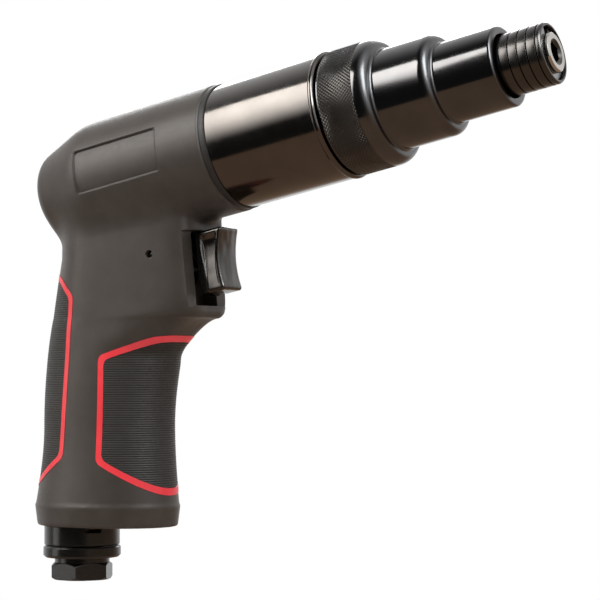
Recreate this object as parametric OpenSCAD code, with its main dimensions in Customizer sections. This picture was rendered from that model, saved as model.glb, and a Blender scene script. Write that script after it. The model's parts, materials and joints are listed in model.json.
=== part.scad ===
// Pistol-grip pneumatic screwdriver with an adjustable clutch and a quick-change chuck.
// The origin is the mouth of the bit socket on the drive axis, +X points out of the socket, +Z is up.

/* [Housing barrel] */
// Radius of the housing barrel over that of the gear case
barrel_proud = 0.7; // [0.2:0.1:3]
// Length of the rear taper of the barrel
taper_len = 22; // [18:0.1:27]
// Radius of the taper at its rear end, without the rounding
taper_r = 14.8; // [12:0.1:17]
// Rounding of the rear end, from its edge
end_round = 5.3; // [2:0.1:7]
// Rounding where the taper meets the barrel, from its edge
taper_round = 4; // [1:0.1:6]
// Wall and taper behind the motor bore
rear_wall = 19; // [17:0.5:24]
// Length of the bare recessed field on the side
field_len = 34.5; // [24:0.5:38]
// Height of the recessed field
field_h = 14.8; // [10:0.2:18]
// Depth of the recessed field
field_depth = 0.7; // [0.4:0.1:1.2]
// Distance from the front of the gear case to the front of the field
field_back = 20.5; // [16:0.5:26]
// Height of the field's middle above the drive axis
field_up = 2.2; // [0:0.1:4]

/* [Handle] */
// Lean of the handle from the vertical, degrees
handle_lean = 11.3; // [6:0.1:16]
// Distance from the drive axis to the foot, along the handle
handle_len = 134; // [126:0.5:146]
// Front of the trigger face, behind the gear case, at its top
face_top = 14.8; // [13:0.1:17]
// Front of the trigger face at the chin
face_chin = 10.9; // [9:0.1:14]
// Chin below the trigger, distance along the handle
chin_s = 60; // [57:0.5:64]
// Thickness of the chin under the trigger's notch
chin_wall = 6.3; // [4:0.1:8]
// Rounding of the chin
chin_round = 2.5; // [1:0.1:3.5]
// Narrowing of the trigger face down to the chin
chin_pinch = 6; // [0:0.1:8]
// Length of the concave throat under the chin
throat_len = 16; // [12:0.5:22]
// Front of the handle at the bottom of the throat
throat_front = 26.8; // [25:0.1:29]
// Middle of the grip, distance along the handle
grip_s = 98; // [92:0.5:104]
// Front of the handle at the middle of the grip
grip_front = 29.3; // [27:0.1:32]
// Back of the handle at the middle of the grip
grip_back = 79.8; // [76:0.1:86]
// Back of the handle at the web of the hand
web_back = 72.3; // [70:0.1:75]
// Web of the hand, distance along the handle
web_s = 38; // [34:0.5:42]
// Half width of the grip
grip_half_w = 18; // [16.5:0.1:21]
// Flare of the grip towards the foot
foot_flare = 2.6; // [0.5:0.1:4]
// Height of the band round the foot
foot_band = 8.5; // [6:0.1:12]
// Step of the band out from the grip
band_step = 0.4; // [0.2:0.1:2]
// Taper of the band down to the foot
band_taper = 0.9; // [0.2:0.1:1.6]
// Depth of the rubber panels and trim in the handle
pad_depth = 1.8; // [1.2:0.1:2.4]
// Width of the trim round the front panel
front_trim_w = 2.1; // [1.5:0.1:4]
// Width of the trim round the rear panel
rear_trim_w = 1.9; // [1.2:0.1:3]

/* [Trigger and valve] */
// Distance of the valve axis below the drive axis
valve_drop = 37.3; // [35:0.1:39]
// Height of the trigger
trigger_h = 22; // [18:0.1:23]
// Width of the trigger
trigger_w = 12.8; // [11:0.1:15]
// Top front edge of the trigger, behind the gear case
trigger_front = 8.9; // [8:0.1:11]
// Depth of the trigger
trigger_depth = 12.8; // [10:0.1:14]
// Lean of the trigger's front face over its height
trigger_lean = 2.6; // [1:0.1:4]
// Hollow of the trigger's front face
trigger_hollow = 1.8; // [0.5:0.1:2.5]
// Middle of the trigger below the valve axis
trigger_drop = 0.6; // [0:0.1:1.5]
// Gap between the trigger and the edge of its notch
notch_gap = 1.5; // [1:0.1:4]
// Lean of the notch's edge, degrees
notch_lean = 6; // [0:0.5:10]
// Trigger travel
trigger_travel = 5.5; // [3:0.1:6.5]
// Radius of the trigger stem
stem_r = 2; // [1.5:0.1:2.5]
// Radius of the valve bush
bush_r = 7; // [6.6:0.1:8]
// Length of the valve bush
bush_len = 18; // [16:0.5:22]
// Radius of the cross pin that holds the bush
pin_r = 1.25; // [1:0.05:1.4]
// Cross pin above the valve axis
pin_up = 5.4; // [5:0.1:5.6]
// Cross pin behind the bush's front face
pin_back = 4.4; // [3:0.1:7]
// Radius of the valve head
valve_r = 5.6; // [5:0.1:6]
// Thickness of the valve seal
valve_seal_w = 1.5; // [1:0.1:2]
// Length of the valve spring
valve_spring_len = 17; // [14:0.5:20]
// Radius of the valve spring's wire
valve_wire_r = 0.5; // [0.3:0.05:0.6]

/* [Air inlet] */
// Distance of the inlet axis behind the gear case, across the handle
inlet_back = 66.5; // [64:0.1:68]
// Radius of the inlet thread's bore
inlet_r = 5.65; // [5:0.05:6]
// Length of the inlet thread
inlet_len = 12; // [10:0.1:13]
// Width across flats of the inlet hexagon
inlet_hex = 20; // [17:0.5:21]
// Length of the inlet hexagon
hex_len = 6; // [4:0.1:8]
// Length of the neck above the hexagon
neck_len = 2; // [1:0.1:4]
// Radius of the neck above the hexagon
neck_r = 9.9; // [8:0.1:11]
// Radius of the inlet flange
flange_r = 14; // [13.8:0.1:16]
// Thickness of the inlet flange
flange_w = 4; // [3:0.1:6]
// Radius of the exhaust deflector
deflector_r = 13.65; // [13:0.05:13.8]
// Height of the exhaust deflector
deflector_h = 7; // [5:0.1:10]
// Radius of the inlet bushing's thread in the handle
bushing_r = 6.2; // [5.6:0.1:6.4]
// Length of the bushing's thread in the handle
bushing_len = 16; // [12:0.5:20]
// Radius of the muffler ring
muffler_r = 12; // [11.6:0.1:12.4]
// Height of the muffler ring
muffler_h = 6.5; // [4:0.1:9]

/* [Air motor] */
// Radius of the gear case less that of the motor bore
bore_inset = 2.5; // [2:0.1:2.8]
// Length of the motor cylinder
motor_len = 33; // [28:0.5:36]
// Radius of the motor bore less that of the cylinder's bore
cylinder_wall = 4.7; // [4:0.1:4.9]
// Radius of the cylinder's bore less that of the rotor
rotor_inset = 1.8; // [1.4:0.1:2.6]
// Thickness of the rear end plate
rear_plate_w = 10; // [9:0.5:13]
// Thickness of the front end plate
front_plate_w = 9; // [8.5:0.5:12]
// Radius of the rotor shaft
shaft_r = 4; // [3.4:0.1:4.6]
// Radius of the rotor less that of its bearings
bearing_inset = 2; // [1:0.1:4]
// Width of the rotor bearings
rotor_bearing_w = 7; // [5:0.5:8]
// Thickness of a vane
vane_w = 1.6; // [1:0.1:2.2]
// Radial depth of a vane
vane_depth = 6.5; // [4:0.1:7.5]

/* [Gears] */
// Wall of the ring gears outside their teeth
ring_wall = 2.8; // [2.4:0.1:3.6]
// Length of a planet gear
planet_len = 6.7; // [5:0.1:8]
// Radius of a planet pin
planet_pin_r = 1.5; // [1.2:0.05:1.7]
// Thickness of the first carrier
first_carrier_w = 3; // [2.5:0.1:4.5]
// Thickness of the second carrier
second_carrier_w = 4; // [3:0.1:6]
// Radius of the drive pinion's bore
pinion_bore_r = 3; // [2.4:0.1:3.4]

/* [Gear case] */
// Outer radius of the gear case
case_r = 22; // [20.6:0.1:24]
// Width of the seal between the housing and the gear case
case_seal_w = 2.3; // [1:0.1:4]
// Depth of the ring's rim below the housing's surface
seal_inset = 0.3; // [0.1:0.1:1]
// Length of the gear case's spigot in the housing
spigot_len = 8; // [6:0.5:10]
// Length of the gear case's front wall
front_wall = 12.5; // [11:0.1:16]
// Length of the skirt in front of the wall
skirt_len = 5.4; // [4:0.1:8]
// Radius of the snout that carries the sleeve
snout_r = 12.5; // [11.6:0.1:12.8]
// Width of the spindle bearing
spindle_bearing_w = 8; // [6:0.1:9]
// Radius of the spindle
spindle_r = 6; // [5.2:0.1:6.4]
// Length of the spindle bush
spindle_bush_len = 8.5; // [6:0.5:10]
// Wall of the spindle bush
spindle_bush_wall = 2.5; // [1.5:0.1:3]

/* [Clutch] */
// Radius of a clutch pin
clutch_pin_r = 1.4; // [1:0.05:1.5]
// Number of clutch pins
clutch_pins_n = 6; // [4:1:8]
// Thickness of the clutch washer
washer_w = 1.2; // [0.8:0.1:2]
// Length of the clutch spring
clutch_spring_len = 11.3; // [10:0.1:14]
// Radius of the clutch spring's wire
clutch_wire_r = 1.1; // [0.8:0.05:1.2]
// Length of the adjusting nut
nut_len = 5.5; // [4:0.1:7]
// Nut travel each way
nut_travel = 1.5; // [1:0.1:2]

/* [Adjusting sleeve] */
// Radius of the gear case less that of the knurled band
knurl_inset = 0.2; // [0:0.1:0.8]
// Radius of the first step of the nose
step_one_r = 17.4; // [16.6:0.1:19]
// Length of the first step, with its shoulder
step_one_len = 20.6; // [16:0.2:26]
// Radius of the second step of the nose
step_two_r = 13.7; // [13:0.1:15]
// Length of the second step
step_two_len = 20.7; // [16:0.1:26]
// Rounding of the nose's shoulders
shoulder_round = 3.4; // [1.5:0.1:3.6]

/* [Chuck] */
// Reach of the bit holder in front of the sleeve
holder_reach = 17.2; // [16.8:0.1:22]
// Width across flats of the bit socket
socket_hex = 6.4; // [6.35:0.01:6.5]
// Depth of the bit socket
socket_depth = 26; // [20:0.5:28]
// Radius of the bit holder inside the chuck sleeve
holder_r = 7.3; // [7:0.05:7.4]
// Radius of the chuck sleeve
chuck_r = 10.4; // [10.2:0.1:10.7]
// Length of the chuck sleeve
chuck_len = 15; // [14.8:0.1:15.4]
// Reach of the chuck sleeve's tail into the nose
chuck_tail = 3.5; // [1:0.1:5]
// Travel of the chuck sleeve
chuck_travel = 3; // [1.5:0.1:3.2]
// Radius of the bit retaining ball
ball_r = 2.4; // [2.3:0.02:2.44]
// Radius of the chuck spring's wire
chuck_wire_r = 0.35; // [0.2:0.05:0.4]

/* [Hidden] */
$fn = 64;
eps = 0.1;
fit_gap = 0.05;
run_gap = 0.05;
side_gap = 0.3;

// Radii that follow the gear case.
barrel_r = case_r + barrel_proud;
knurl_r = case_r - knurl_inset;
motor_bore_r = case_r - bore_inset;
cylinder_bore_r = motor_bore_r - cylinder_wall;
rotor_r = cylinder_bore_r - rotor_inset;
rotor_bearing_r = rotor_r - bearing_inset;
spigot_wall = 1.025;
case_bore_r = motor_bore_r - fit_gap - spigot_wall;
ring_outer_r = case_bore_r - fit_gap;
pin_edge = 0.275;
clutch_pin_path_r = ring_outer_r - clutch_pin_r - pin_edge;
pin_wall = 1.3;
spindle_bearing_r = clutch_pin_path_r - clutch_pin_r - pin_wall;
skirt_wall = 2.2;
skirt_bore_r = knurl_r - skirt_wall;
nut_wall = 3;
nut_r = knurl_r - nut_wall;
sleeve_wall = 2.6;
sleeve_bore_r = knurl_r - sleeve_wall;

// Gear teeth: sun, planet and ring of both stages.
sun_teeth = 18;
planet_teeth = 12;
ring_teeth = sun_teeth + 2 * planet_teeth;
pressure_angle = 25;
flank_gap = 0.06;
root_depth = 1.25;
gear_module = (ring_outer_r - ring_wall) / (ring_teeth / 2 + root_depth);
addendum = 0.9 * gear_module;
dedendum = root_depth * gear_module;
planet_path_r = gear_module * (sun_teeth + planet_teeth) / 2;
carrier_r = gear_module * ring_teeth / 2 - addendum - 2 * side_gap;

// Places along the drive axis, measured forward from the back edge of the gear case.
plate_x = -spigot_len;
front_plate_x = plate_x - front_plate_w;
cylinder_x = front_plate_x - motor_len;
rear_plate_x = cylinder_x - rear_plate_w;
rear_x = rear_plate_x - rear_wall;
first_planet_x = 2;
first_carrier_x = first_planet_x + planet_len + side_gap;
second_planet_x = first_carrier_x + first_carrier_w + side_gap;
second_carrier_x = second_planet_x + planet_len + side_gap;
clutch_lug = 1.6;
clutch_gear_end = second_carrier_x + second_carrier_w + side_gap + clutch_lug;
wall_x = clutch_gear_end + side_gap;
wall_end = wall_x + front_wall;
case_len = wall_end + skirt_len;
washer_x = wall_end + 0.5;
spring_x = washer_x + washer_w;
nut_x = spring_x + clutch_spring_len;
cavity_end = nut_x + nut_len + nut_travel + 0.5;
web_w = 5.5;
web_end = cavity_end + web_w;
snout_lip = 2.5;
snout_end = web_end + snout_lip;
bush_seat_x = snout_end - spindle_bush_len;
bush_seat_r = spindle_r + spindle_bush_wall;
sleeve_x = case_len + 0.5;
knurl_x = sleeve_x + 0.7;
step_one_x = web_end;
step_two_x = step_one_x + step_one_len;
sleeve_end = step_two_x + step_two_len;
front_x = -(sleeve_end + holder_reach);

// Chuck, measured from the mouth of the bit socket.
rim_reach = 1;
chuck_end = -rim_reach;
chuck_x = chuck_end - chuck_len;
recess_len = 2.5;
lip_w = 0.7;
cone_end = chuck_end - recess_len - lip_w;
ball_slope = 0.2;
ball_room = 1.6;
ball_x = cone_end - chuck_travel - ball_room;
cone_lead = 0.25;
cone_x = ball_x - cone_lead;
chuck_bore_r = holder_r + run_gap;
land_len = 3.2;
pocket_end = cone_x - land_len;
shoulder_lap = 0.5;
shoulder_x = chuck_x - chuck_travel + shoulder_lap;
shoulder_h = 1.5;
shoulder_r = holder_r + shoulder_h;
pocket_gap = 0.2;
pocket_r = shoulder_r + pocket_gap;
chuck_spring_gap = 0.4;
clip_w = 1;
clip_x = chuck_end - recess_len + side_gap;
tail_x = chuck_x - chuck_tail;
chuck_neck = 2.4;
neck_end = chuck_x + chuck_neck;

// Valve parts, measured forward from the back edge of the gear case.
trigger_back_x = -trigger_front - trigger_depth;
pocket_x = trigger_back_x - trigger_travel - 2;
bush_x = pocket_x;
bush_end = bush_x - bush_len;
valve_x = bush_end - fit_gap - valve_seal_w;
valve_w = 3.5;
valve_back = valve_x - valve_w;
chamber_end = valve_back - valve_spring_len;
chamber_r = bush_r + fit_gap;
window_x = bush_end + 4;
pin_inset = 3;
pin_half = grip_half_w - pin_inset;

// Foot and inlet, measured down the handle from the drive axis.
band_s = handle_len - foot_band;
throat_s = chin_s + throat_len;
passage_r = 4;
meet_x = -(inlet_back + valve_drop * sin(handle_lean)) / cos(handle_lean);
meet_s = valve_drop * cos(handle_lean) - meet_x * sin(handle_lean);
deflector_s = handle_len + side_gap;
flange_s = deflector_s + deflector_h + side_gap;
neck_s = flange_s + flange_w;
hex_s = neck_s + neck_len;
inlet_s = hex_s + hex_len;
post_r = bushing_r + 0.55;
deflector_bore_r = post_r + 0.1;
screen_w = 1;
screen_depth = 0.3;
screen_seat_r = bushing_r - 1.5;

// Frames and simple turned shapes

// Local +Z runs forward along the drive axis from x, measured from the gear case's back edge.
module along(x) {
    translate([front_x + x, 0, 0]) rotate([0, 90, 0]) children();
}

// As along(), on the valve axis.
module on_valve(x) {
    translate([front_x + x, 0, -valve_drop]) rotate([0, 90, 0]) children();
}

// Handle frame: +X forward across the handle, -Z down the handle.
module in_handle() {
    translate([front_x, 0, 0]) rotate([0, handle_lean, 0]) children();
}

// Local origin on the inlet axis, a distance s down the handle.
module on_inlet(s) {
    in_handle() translate([-inlet_back, 0, -s]) children();
}

// Turned part on the drive axis from [x, radius] points.
module turned(points) {
    along(0) rotate_extrude() polygon([for (p = points) [p[1], p[0]]]);
}

// Turned part on the inlet axis from [distance down the handle, radius] points.
module inlet_turned(points) {
    on_inlet(0) rotate_extrude() polygon([for (p = points) [p[1], -p[0]]]);
}

module ring(x, len, r_out, r_in) {
    turned([[x, r_in], [x, r_out], [x + len, r_out], [x + len, r_in]]);
}

// Points of a quarter round from one point to another, [x, r]; bulge 1 is convex, 0 concave.
function quarter(from, to, bulge, n = 6) = [
    for (i = [0:n])
        let (a = 90 * i / n, u = bulge == 1 ? sin(a) : 1 - cos(a), v = bulge == 1 ? 1 - cos(a) : sin(a))
        [from[0] + (to[0] - from[0]) * u, from[1] + (to[1] - from[1]) * v]
];

// Outline tools for the grip panels

function unit(v) = v / norm(v);

// Where two lines meet, each given by a point and a direction.
function meet(p, d, q, e) =
    let (k = ((q[0] - p[0]) * e[1] - (q[1] - p[1]) * e[0]) / (d[0] * e[1] - d[1] * e[0]))
    p + k * d;

// Outline moved to its inside by w; its points run anticlockwise.
function inset(pts, w) = [
    for (i = [0:len(pts) - 1])
        let (
            a = pts[(i + len(pts) - 1) % len(pts)],
            b = pts[i],
            c = pts[(i + 1) % len(pts)],
            d = unit(b - a),
            e = unit(c - b)
        )
        meet(a + w * [-d[1], d[0]], d, b + w * [-e[1], e[0]], e)
];

// Outline with each corner cut by an arc that starts r from it.
function rounded(pts, r, n = 4) = [
    for (i = [0:len(pts) - 1])
        let (
            b = pts[i],
            p = b + r * unit(pts[(i + len(pts) - 1) % len(pts)] - b),
            q = b + r * unit(pts[(i + 1) % len(pts)] - b)
        )
        for (j = [0:n])
            let (u = j / n)
            (1 - u) * (1 - u) * p + 2 * u * (1 - u) * b + u * u * q
];

// Handle: a loft of sections that are round behind and change from square to round in front

function clamp01(u) = min(1, max(0, u));
function rise(u) = sin(90 * clamp01(u));
function swell(u) = 1 - cos(90 * clamp01(u));
function ease(u) = (1 - cos(180 * clamp01(u))) / 2;

// How far the foot's band stands out at a level.
function band(s) =
    band_step * clamp01((s - band_s) / 1.2) - band_taper * clamp01((s - band_s - 1.2) / (foot_band - 1.2));

// How far the face draws back at the chin.
function chin_at(s) =
    chin_round * (1 - sqrt(1 - pow(0.9 * clamp01((s - chin_s + chin_round) / chin_round), 2)));

function back_at(s) =
    s < web_s ? web_back - 6 * swell((web_s - s) / web_s)
    : s < grip_s ? web_back + (grip_back - web_back) * rise((s - web_s) / (grip_s - web_s))
    : grip_back + foot_flare * 1.3 * swell((s - grip_s) / (band_s - grip_s)) + band(s);

function front_at(s) =
    let (chin_front = face_chin + chin_at(chin_s))
    s < chin_s ? face_top + (face_chin - face_top) * s / chin_s + chin_at(s)
    : s < throat_s ? chin_front + (throat_front - chin_front) * pow(rise((s - chin_s) / throat_len), 0.6)
    : s < grip_s ? throat_front + (grip_front - throat_front) * rise((s - throat_s) / (grip_s - throat_s))
    : grip_front - foot_flare * 0.6 * swell((s - grip_s) / (band_s - grip_s)) - band(s);

function half_w_at(s) =
    grip_half_w + foot_flare * 0.5 * swell((s - grip_s) / (band_s - grip_s)) + band(s);

// Squareness and taper of the front half, which end below the throat.
function squareness_at(s) = 6.5 - 4.4 * ease((s - chin_s + 8) / (throat_len + 6));
function taper_at(s) = 0.17 * (1 - ease((s - chin_s + 8) / (throat_len + 6)));

// Share of the narrowing at a level: a round corner above the chin, which ends below the throat.
pinch_len = 8;
pinch_turn = 0.95;
function pinch_at(s) =
    s < chin_s ? 1 - sqrt(1 - pow(pinch_turn * clamp01((s - chin_s) / pinch_len + 1), 2))
    : pinch_at(chin_s - 0.001) * (1 - rise((s - chin_s) / throat_len));

section_n = 32;

function power(v, e) = sign(v) * pow(abs(v), e);

// One section of the handle, drawn in by skin.
function section(s, skin) =
    let (
        back = -back_at(s) + skin,
        front = -front_at(s) - skin,
        mid = (back + front) / 2,
        half = (front - back) / 2,
        w = half_w_at(s) - skin
    )
    [
        for (i = [0:section_n - 1])
            let (
                a = 360 * (i + 0.5) / section_n,
                e = 2 / (cos(a) > 0 ? squareness_at(s) : 2.1),
                u = power(cos(a), e)
            )
            [
                mid + half * u,
                power(sin(a), e)
                    * (w * (1 - taper_at(s) * max(0, u)) - chin_pinch * pinch_at(s) * pow(max(0, u), 3)),
                -s
            ]
    ];

function steps(a, b, n) = [for (i = [0:n - 1]) a + (b - a) * i / n];

// Levels of the handle's sections between two levels.
all_levels = concat(
    steps(4, chin_s - pinch_len, 4), steps(chin_s - pinch_len, chin_s - chin_round, 3),
    steps(chin_s - chin_round, chin_s, 3),
    [for (i = [0:4]) chin_s + throat_len * pow(i / 5, 2)],
    steps(throat_s, grip_s, 3), steps(grip_s, band_s, 3),
    [band_s, band_s + 1.2, band_s + 3, (band_s + 3 + handle_len) / 2, handle_len]
);
function levels(a, b) = concat([a], [for (s = all_levels) if (s > a + 0.3 && s < b - 0.3) s], [b]);

// Handle solid between two levels, drawn in by skin.
module handle_loft(a, b, skin) {
    list = levels(a, b);
    n = section_n;
    last = len(list) - 1;
    points = [for (s = list) each section(s, skin)];
    sides = [
        for (k = [0:last - 1])
            for (i = [0:n - 1])
                let (j = (i + 1) % n, p = k * n, q = p + n)
                each [[p + i, p + j, q + i], [p + j, q + j, q + i]]
    ];
    polyhedron(points, concat([[for (i = [n - 1:-1:0]) i]], sides, [[for (i = [0:n - 1]) last * n + i]]));
}

// Side outlines of the grip panels, with trim, in [across, down] of the handle frame.
front_outline = [
    [4, -(throat_s - 10.4)], [-27, -(throat_s - 7.4)], [-47.2, -(throat_s - 0.8)],
    [-48.3, -(band_s - 14.5)], [-27, -(band_s - 2.3)], [4, -(band_s + 2)]
];
rear_outline = [
    [-100, -(band_s + 3)], [-76, -(band_s - 7.2)], [-62.6, -(band_s - 16.2)], [-58.2, -(web_s + 13.8)],
    [-65.5, -(web_s + 7.3)], [-72, -(web_s + 5.2)], [-100, -(web_s)]
];
corner_cut = 2.2;

// Straight prism through the handle with an outline of the handle frame.
module side_prism(outline) {
    in_handle() rotate([90, 0, 0])
        linear_extrude(height = 4 * grip_half_w, center = true) polygon(outline);
}

// The layer of the handle's skin that lies inside an outline.
module skin_layer(outline, a, b) {
    intersection() {
        difference() {
            in_handle() handle_loft(a, b, 0);
            in_handle() handle_loft(a - 2, b + 2, pad_depth);
        }
        side_prism(outline);
    }
}

front_span = [throat_s - 13.5, band_s + 0.6];
rear_span = [web_s + 1.5, band_s + 0.6];
front_edge = rounded(front_outline, corner_cut);
rear_edge = rounded(rear_outline, corner_cut);
front_pad_edge = rounded(inset(front_outline, front_trim_w), corner_cut);
rear_pad_edge = rounded(inset(rear_outline, rear_trim_w), corner_cut);

module front_grip_pad() {
    color("#26241f") skin_layer(front_pad_edge, front_span[0], front_span[1]);
}

module rear_grip_pad() {
    color("#26241f") skin_layer(rear_pad_edge, rear_span[0], rear_span[1]);
}

module front_grip_trim() {
    color("#d8303c") difference() {
        skin_layer(front_edge, front_span[0], front_span[1]);
        side_prism(front_pad_edge);
    }
}

module rear_grip_trim() {
    color("#d8303c") difference() {
        skin_layer(rear_edge, rear_span[0], rear_span[1]);
        side_prism(rear_pad_edge);
    }
}

// Housing

module barrel_shell() {
    x_end = rear_x;
    x_straight = x_end + taper_len;
    slope = atan2(barrel_r - taper_r, taper_len);
    end_arc_r = end_round * tan((90 + slope) / 2);
    corner = [x_straight, barrel_r];
    p = corner - taper_round * [cos(slope), sin(slope)];
    q = corner + [taper_round, 0];
    turned(concat(
        [[x_end, 0]],
        [for (i = [0:7])
            let (a = (90 - slope) * i / 7)
            [x_end + end_arc_r * (1 - cos(a)), taper_r - end_round + end_arc_r * sin(a)]],
        [for (i = [0:4])
            let (u = i / 4)
            (1 - u) * (1 - u) * p + 2 * u * (1 - u) * corner + u * u * q],
        [[-case_seal_w - 0.6, barrel_r], [-case_seal_w, barrel_r - 0.6], [-case_seal_w, 0]]
    ));
}

// Room for both layers of a grip panel in the handle.
module grip_room(edge, a, b) {
    difference() {
        side_prism(edge);
        in_handle() handle_loft(a - 2, b + 2, pad_depth);
    }
}

// Pocket behind the trigger and the notch that shows its sides, down to the chin.
module trigger_room() {
    top = trigger_h / 2 - trigger_drop + 2 * side_gap;
    trigger_low = trigger_h / 2 + trigger_drop + 2 * side_gap;
    low = max(trigger_low, chin_s * cos(handle_lean) - chin_wall - valve_drop);
    room_w = trigger_w + 4 * side_gap;
    notch_x = trigger_back_x - notch_gap;
    slope = tan(notch_lean);
    translate([front_x + pocket_x, -room_w / 2, -valve_drop - low])
        cube([40, room_w, low + top]);
    translate([front_x, 0, -valve_drop]) rotate([90, 0, 0])
        linear_extrude(height = 4 * grip_half_w, center = true) polygon([
            [notch_x - low * slope, -low], [20, -low], [20, top], [notch_x + top * slope, top]
        ]);
}

// Straight bore from one point to another.
module bore_between(p, q, r) {
    d = q - p;
    translate(p) rotate([0, acos(d[2] / norm(d)), atan2(d[1], d[0])]) cylinder(h = norm(d), r = r);
}

// A point of the handle frame in the part's frame.
function handle_point(t, y, s) = [
    front_x + t * cos(handle_lean) - s * sin(handle_lean),
    y,
    -t * sin(handle_lean) - s * cos(handle_lean)
];

nub_back = 46.5;
exhaust_r = 2.5;
exhaust_y = chamber_r + exhaust_r + 1.4;

module exhaust_bores() {
    for (side = [-1, 1])
        bore_between(
            [front_x + cylinder_x + 6, side * exhaust_y, -15],
            handle_point(-inlet_back + 6.5, side * 7, handle_len - muffler_h + 1),
            exhaust_r
        );
}

module field_recess() {
    difference() {
        translate([front_x - field_back - field_len, -barrel_r - 1, field_up - field_h / 2])
            cube([field_len, barrel_r, field_h]);
        along(-field_back - field_len - 1) cylinder(h = field_len + 2, r = barrel_r - field_depth);
    }
}

module pistol_housing() {
    color("#3a3632") difference() {
        union() {
            barrel_shell();
            in_handle() handle_loft(4, handle_len, 0);
            in_handle() translate([-nub_back, 0, -handle_len - 0.8]) cylinder(h = 2, r = 2.4);
        }
        along(rear_plate_x) cylinder(h = 60 - rear_plate_x, r = motor_bore_r);
        grip_room(front_edge, front_span[0], front_span[1]);
        grip_room(rear_edge, rear_span[0], rear_span[1]);
        field_recess();
        trigger_room();
        on_valve(chamber_end) cylinder(h = pocket_x - chamber_end + 1, r = chamber_r);
        on_valve(meet_x) cylinder(h = chamber_end - meet_x + 1, r = passage_r - 0.5);
        translate([front_x + window_x, 0, -valve_drop]) cylinder(h = valve_drop - 15, r = 2.2);
        translate([front_x + bush_x - pin_back, 0, pin_up - valve_drop]) rotate([90, 0, 0])
            cylinder(h = 80, r = pin_r + 0.02, center = true);
        on_inlet(handle_len + 1) cylinder(h = handle_len + 1 - meet_s + passage_r, r = passage_r);
        on_inlet(handle_len + 1) cylinder(h = bushing_len + 1, r = bushing_r + fit_gap);
        on_inlet(handle_len + 1) cylinder(h = muffler_h + 1.2, r = muffler_r + 0.2);
        exhaust_bores();
    }
}

// Gear case and clutch

module case_seal() {
    color("#2b2825") ring(-case_seal_w, case_seal_w, barrel_r - seal_inset, motor_bore_r);
}

module gear_case() {
    color("#33302f") difference() {
        turned([
            [plate_x, case_bore_r], [plate_x, motor_bore_r - fit_gap], [0, motor_bore_r - fit_gap],
            [0, case_r - 0.3], [0.3, case_r], [case_len - 1.6, case_r], [case_len - 1.2, case_r + 0.4],
            [case_len - 0.6, case_r + 0.4], [case_len, case_r - 0.3], [case_len, skirt_bore_r],
            [wall_end, skirt_bore_r], [wall_end, snout_r], [web_end + 0.3, snout_r],
            [web_end + 0.3, snout_r - 0.8], [web_end + 1.5, snout_r - 0.8], [web_end + 1.5, snout_r],
            [snout_end, snout_r], [snout_end, bush_seat_r], [bush_seat_x, bush_seat_r],
            [bush_seat_x, spindle_r + 1], [wall_x + spindle_bearing_w + 0.5, spindle_r + 1],
            [wall_x + spindle_bearing_w + 0.5, spindle_bearing_r + fit_gap],
            [wall_x, spindle_bearing_r + fit_gap], [wall_x, case_bore_r]
        ]);
        for (i = [0:clutch_pins_n - 1])
            along(clutch_gear_end - clutch_lug - 0.5) rotate([0, 0, 360 * i / clutch_pins_n])
                translate([clutch_pin_path_r, 0, 0])
                    cylinder(h = front_wall + clutch_lug + 2, r = clutch_pin_r + fit_gap);
    }
}

module clutch_pins() {
    color("silver") for (i = [0:clutch_pins_n - 1])
        along(clutch_gear_end - clutch_lug) rotate([0, 0, 360 * i / clutch_pins_n])
            translate([clutch_pin_path_r, 0, 0])
                cylinder(h = washer_x - clutch_gear_end + clutch_lug, r = clutch_pin_r);
}

module clutch_washer() {
    color("silver") ring(washer_x, washer_w, nut_r, snout_r + 0.2);
}

clutch_spring_gap = 1.6;

// Coil spring along +Z from 0 to len.
module coil(mean_r, wire_r, len, turns, per_turn = 16) {
    sides = 6;
    n = turns * per_turn;
    rise_len = len - 2 * wire_r;
    points = [
        for (k = [0:n])
            let (a = 360 * k / per_turn)
            for (i = [0:sides - 1])
                let (b = 360 * i / sides, r = mean_r + wire_r * cos(b))
                [r * cos(a), r * sin(a), wire_r + rise_len * k / n + wire_r * sin(b)]
    ];
    skin = [
        for (k = [0:n - 1])
            for (i = [0:sides - 1])
                let (j = (i + 1) % sides, p = k * sides, q = p + sides)
                each [[p + i, q + i, p + j], [p + j, q + i, q + j]]
    ];
    polyhedron(points, concat([[for (i = [0:sides - 1]) i]], skin,
        [[for (i = [sides - 1:-1:0]) n * sides + i]]));
}

module clutch_spring() {
    color("gray") along(spring_x)
        coil(snout_r + clutch_spring_gap + clutch_wire_r, clutch_wire_r, clutch_spring_len, 3);
}

nut_key_w = 3;
nut_key_h = 1;
nut_key_r = nut_r + nut_key_h;

module adjusting_nut() {
    color("darkgray") difference() {
        union() {
            along(nut_x) cylinder(h = nut_len, r = nut_r);
            intersection() {
                along(nut_x) cylinder(h = nut_len, r = nut_key_r);
                for (i = [0:1])
                    along(nut_x) rotate([0, 0, 90 * i]) translate([-knurl_r, -nut_key_w / 2, 0])
                        cube([2 * knurl_r, nut_key_w, nut_len]);
            }
        }
        along(nut_x - 1) cylinder(h = nut_len + 2, r = snout_r + run_gap);
    }
}

nose_wall = 3;
ring_room = 1.8;
ring_room_r = snout_r + ring_room;
nose_gap = 0.6;
nose_bore_r = chuck_r + nose_gap;

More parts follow.
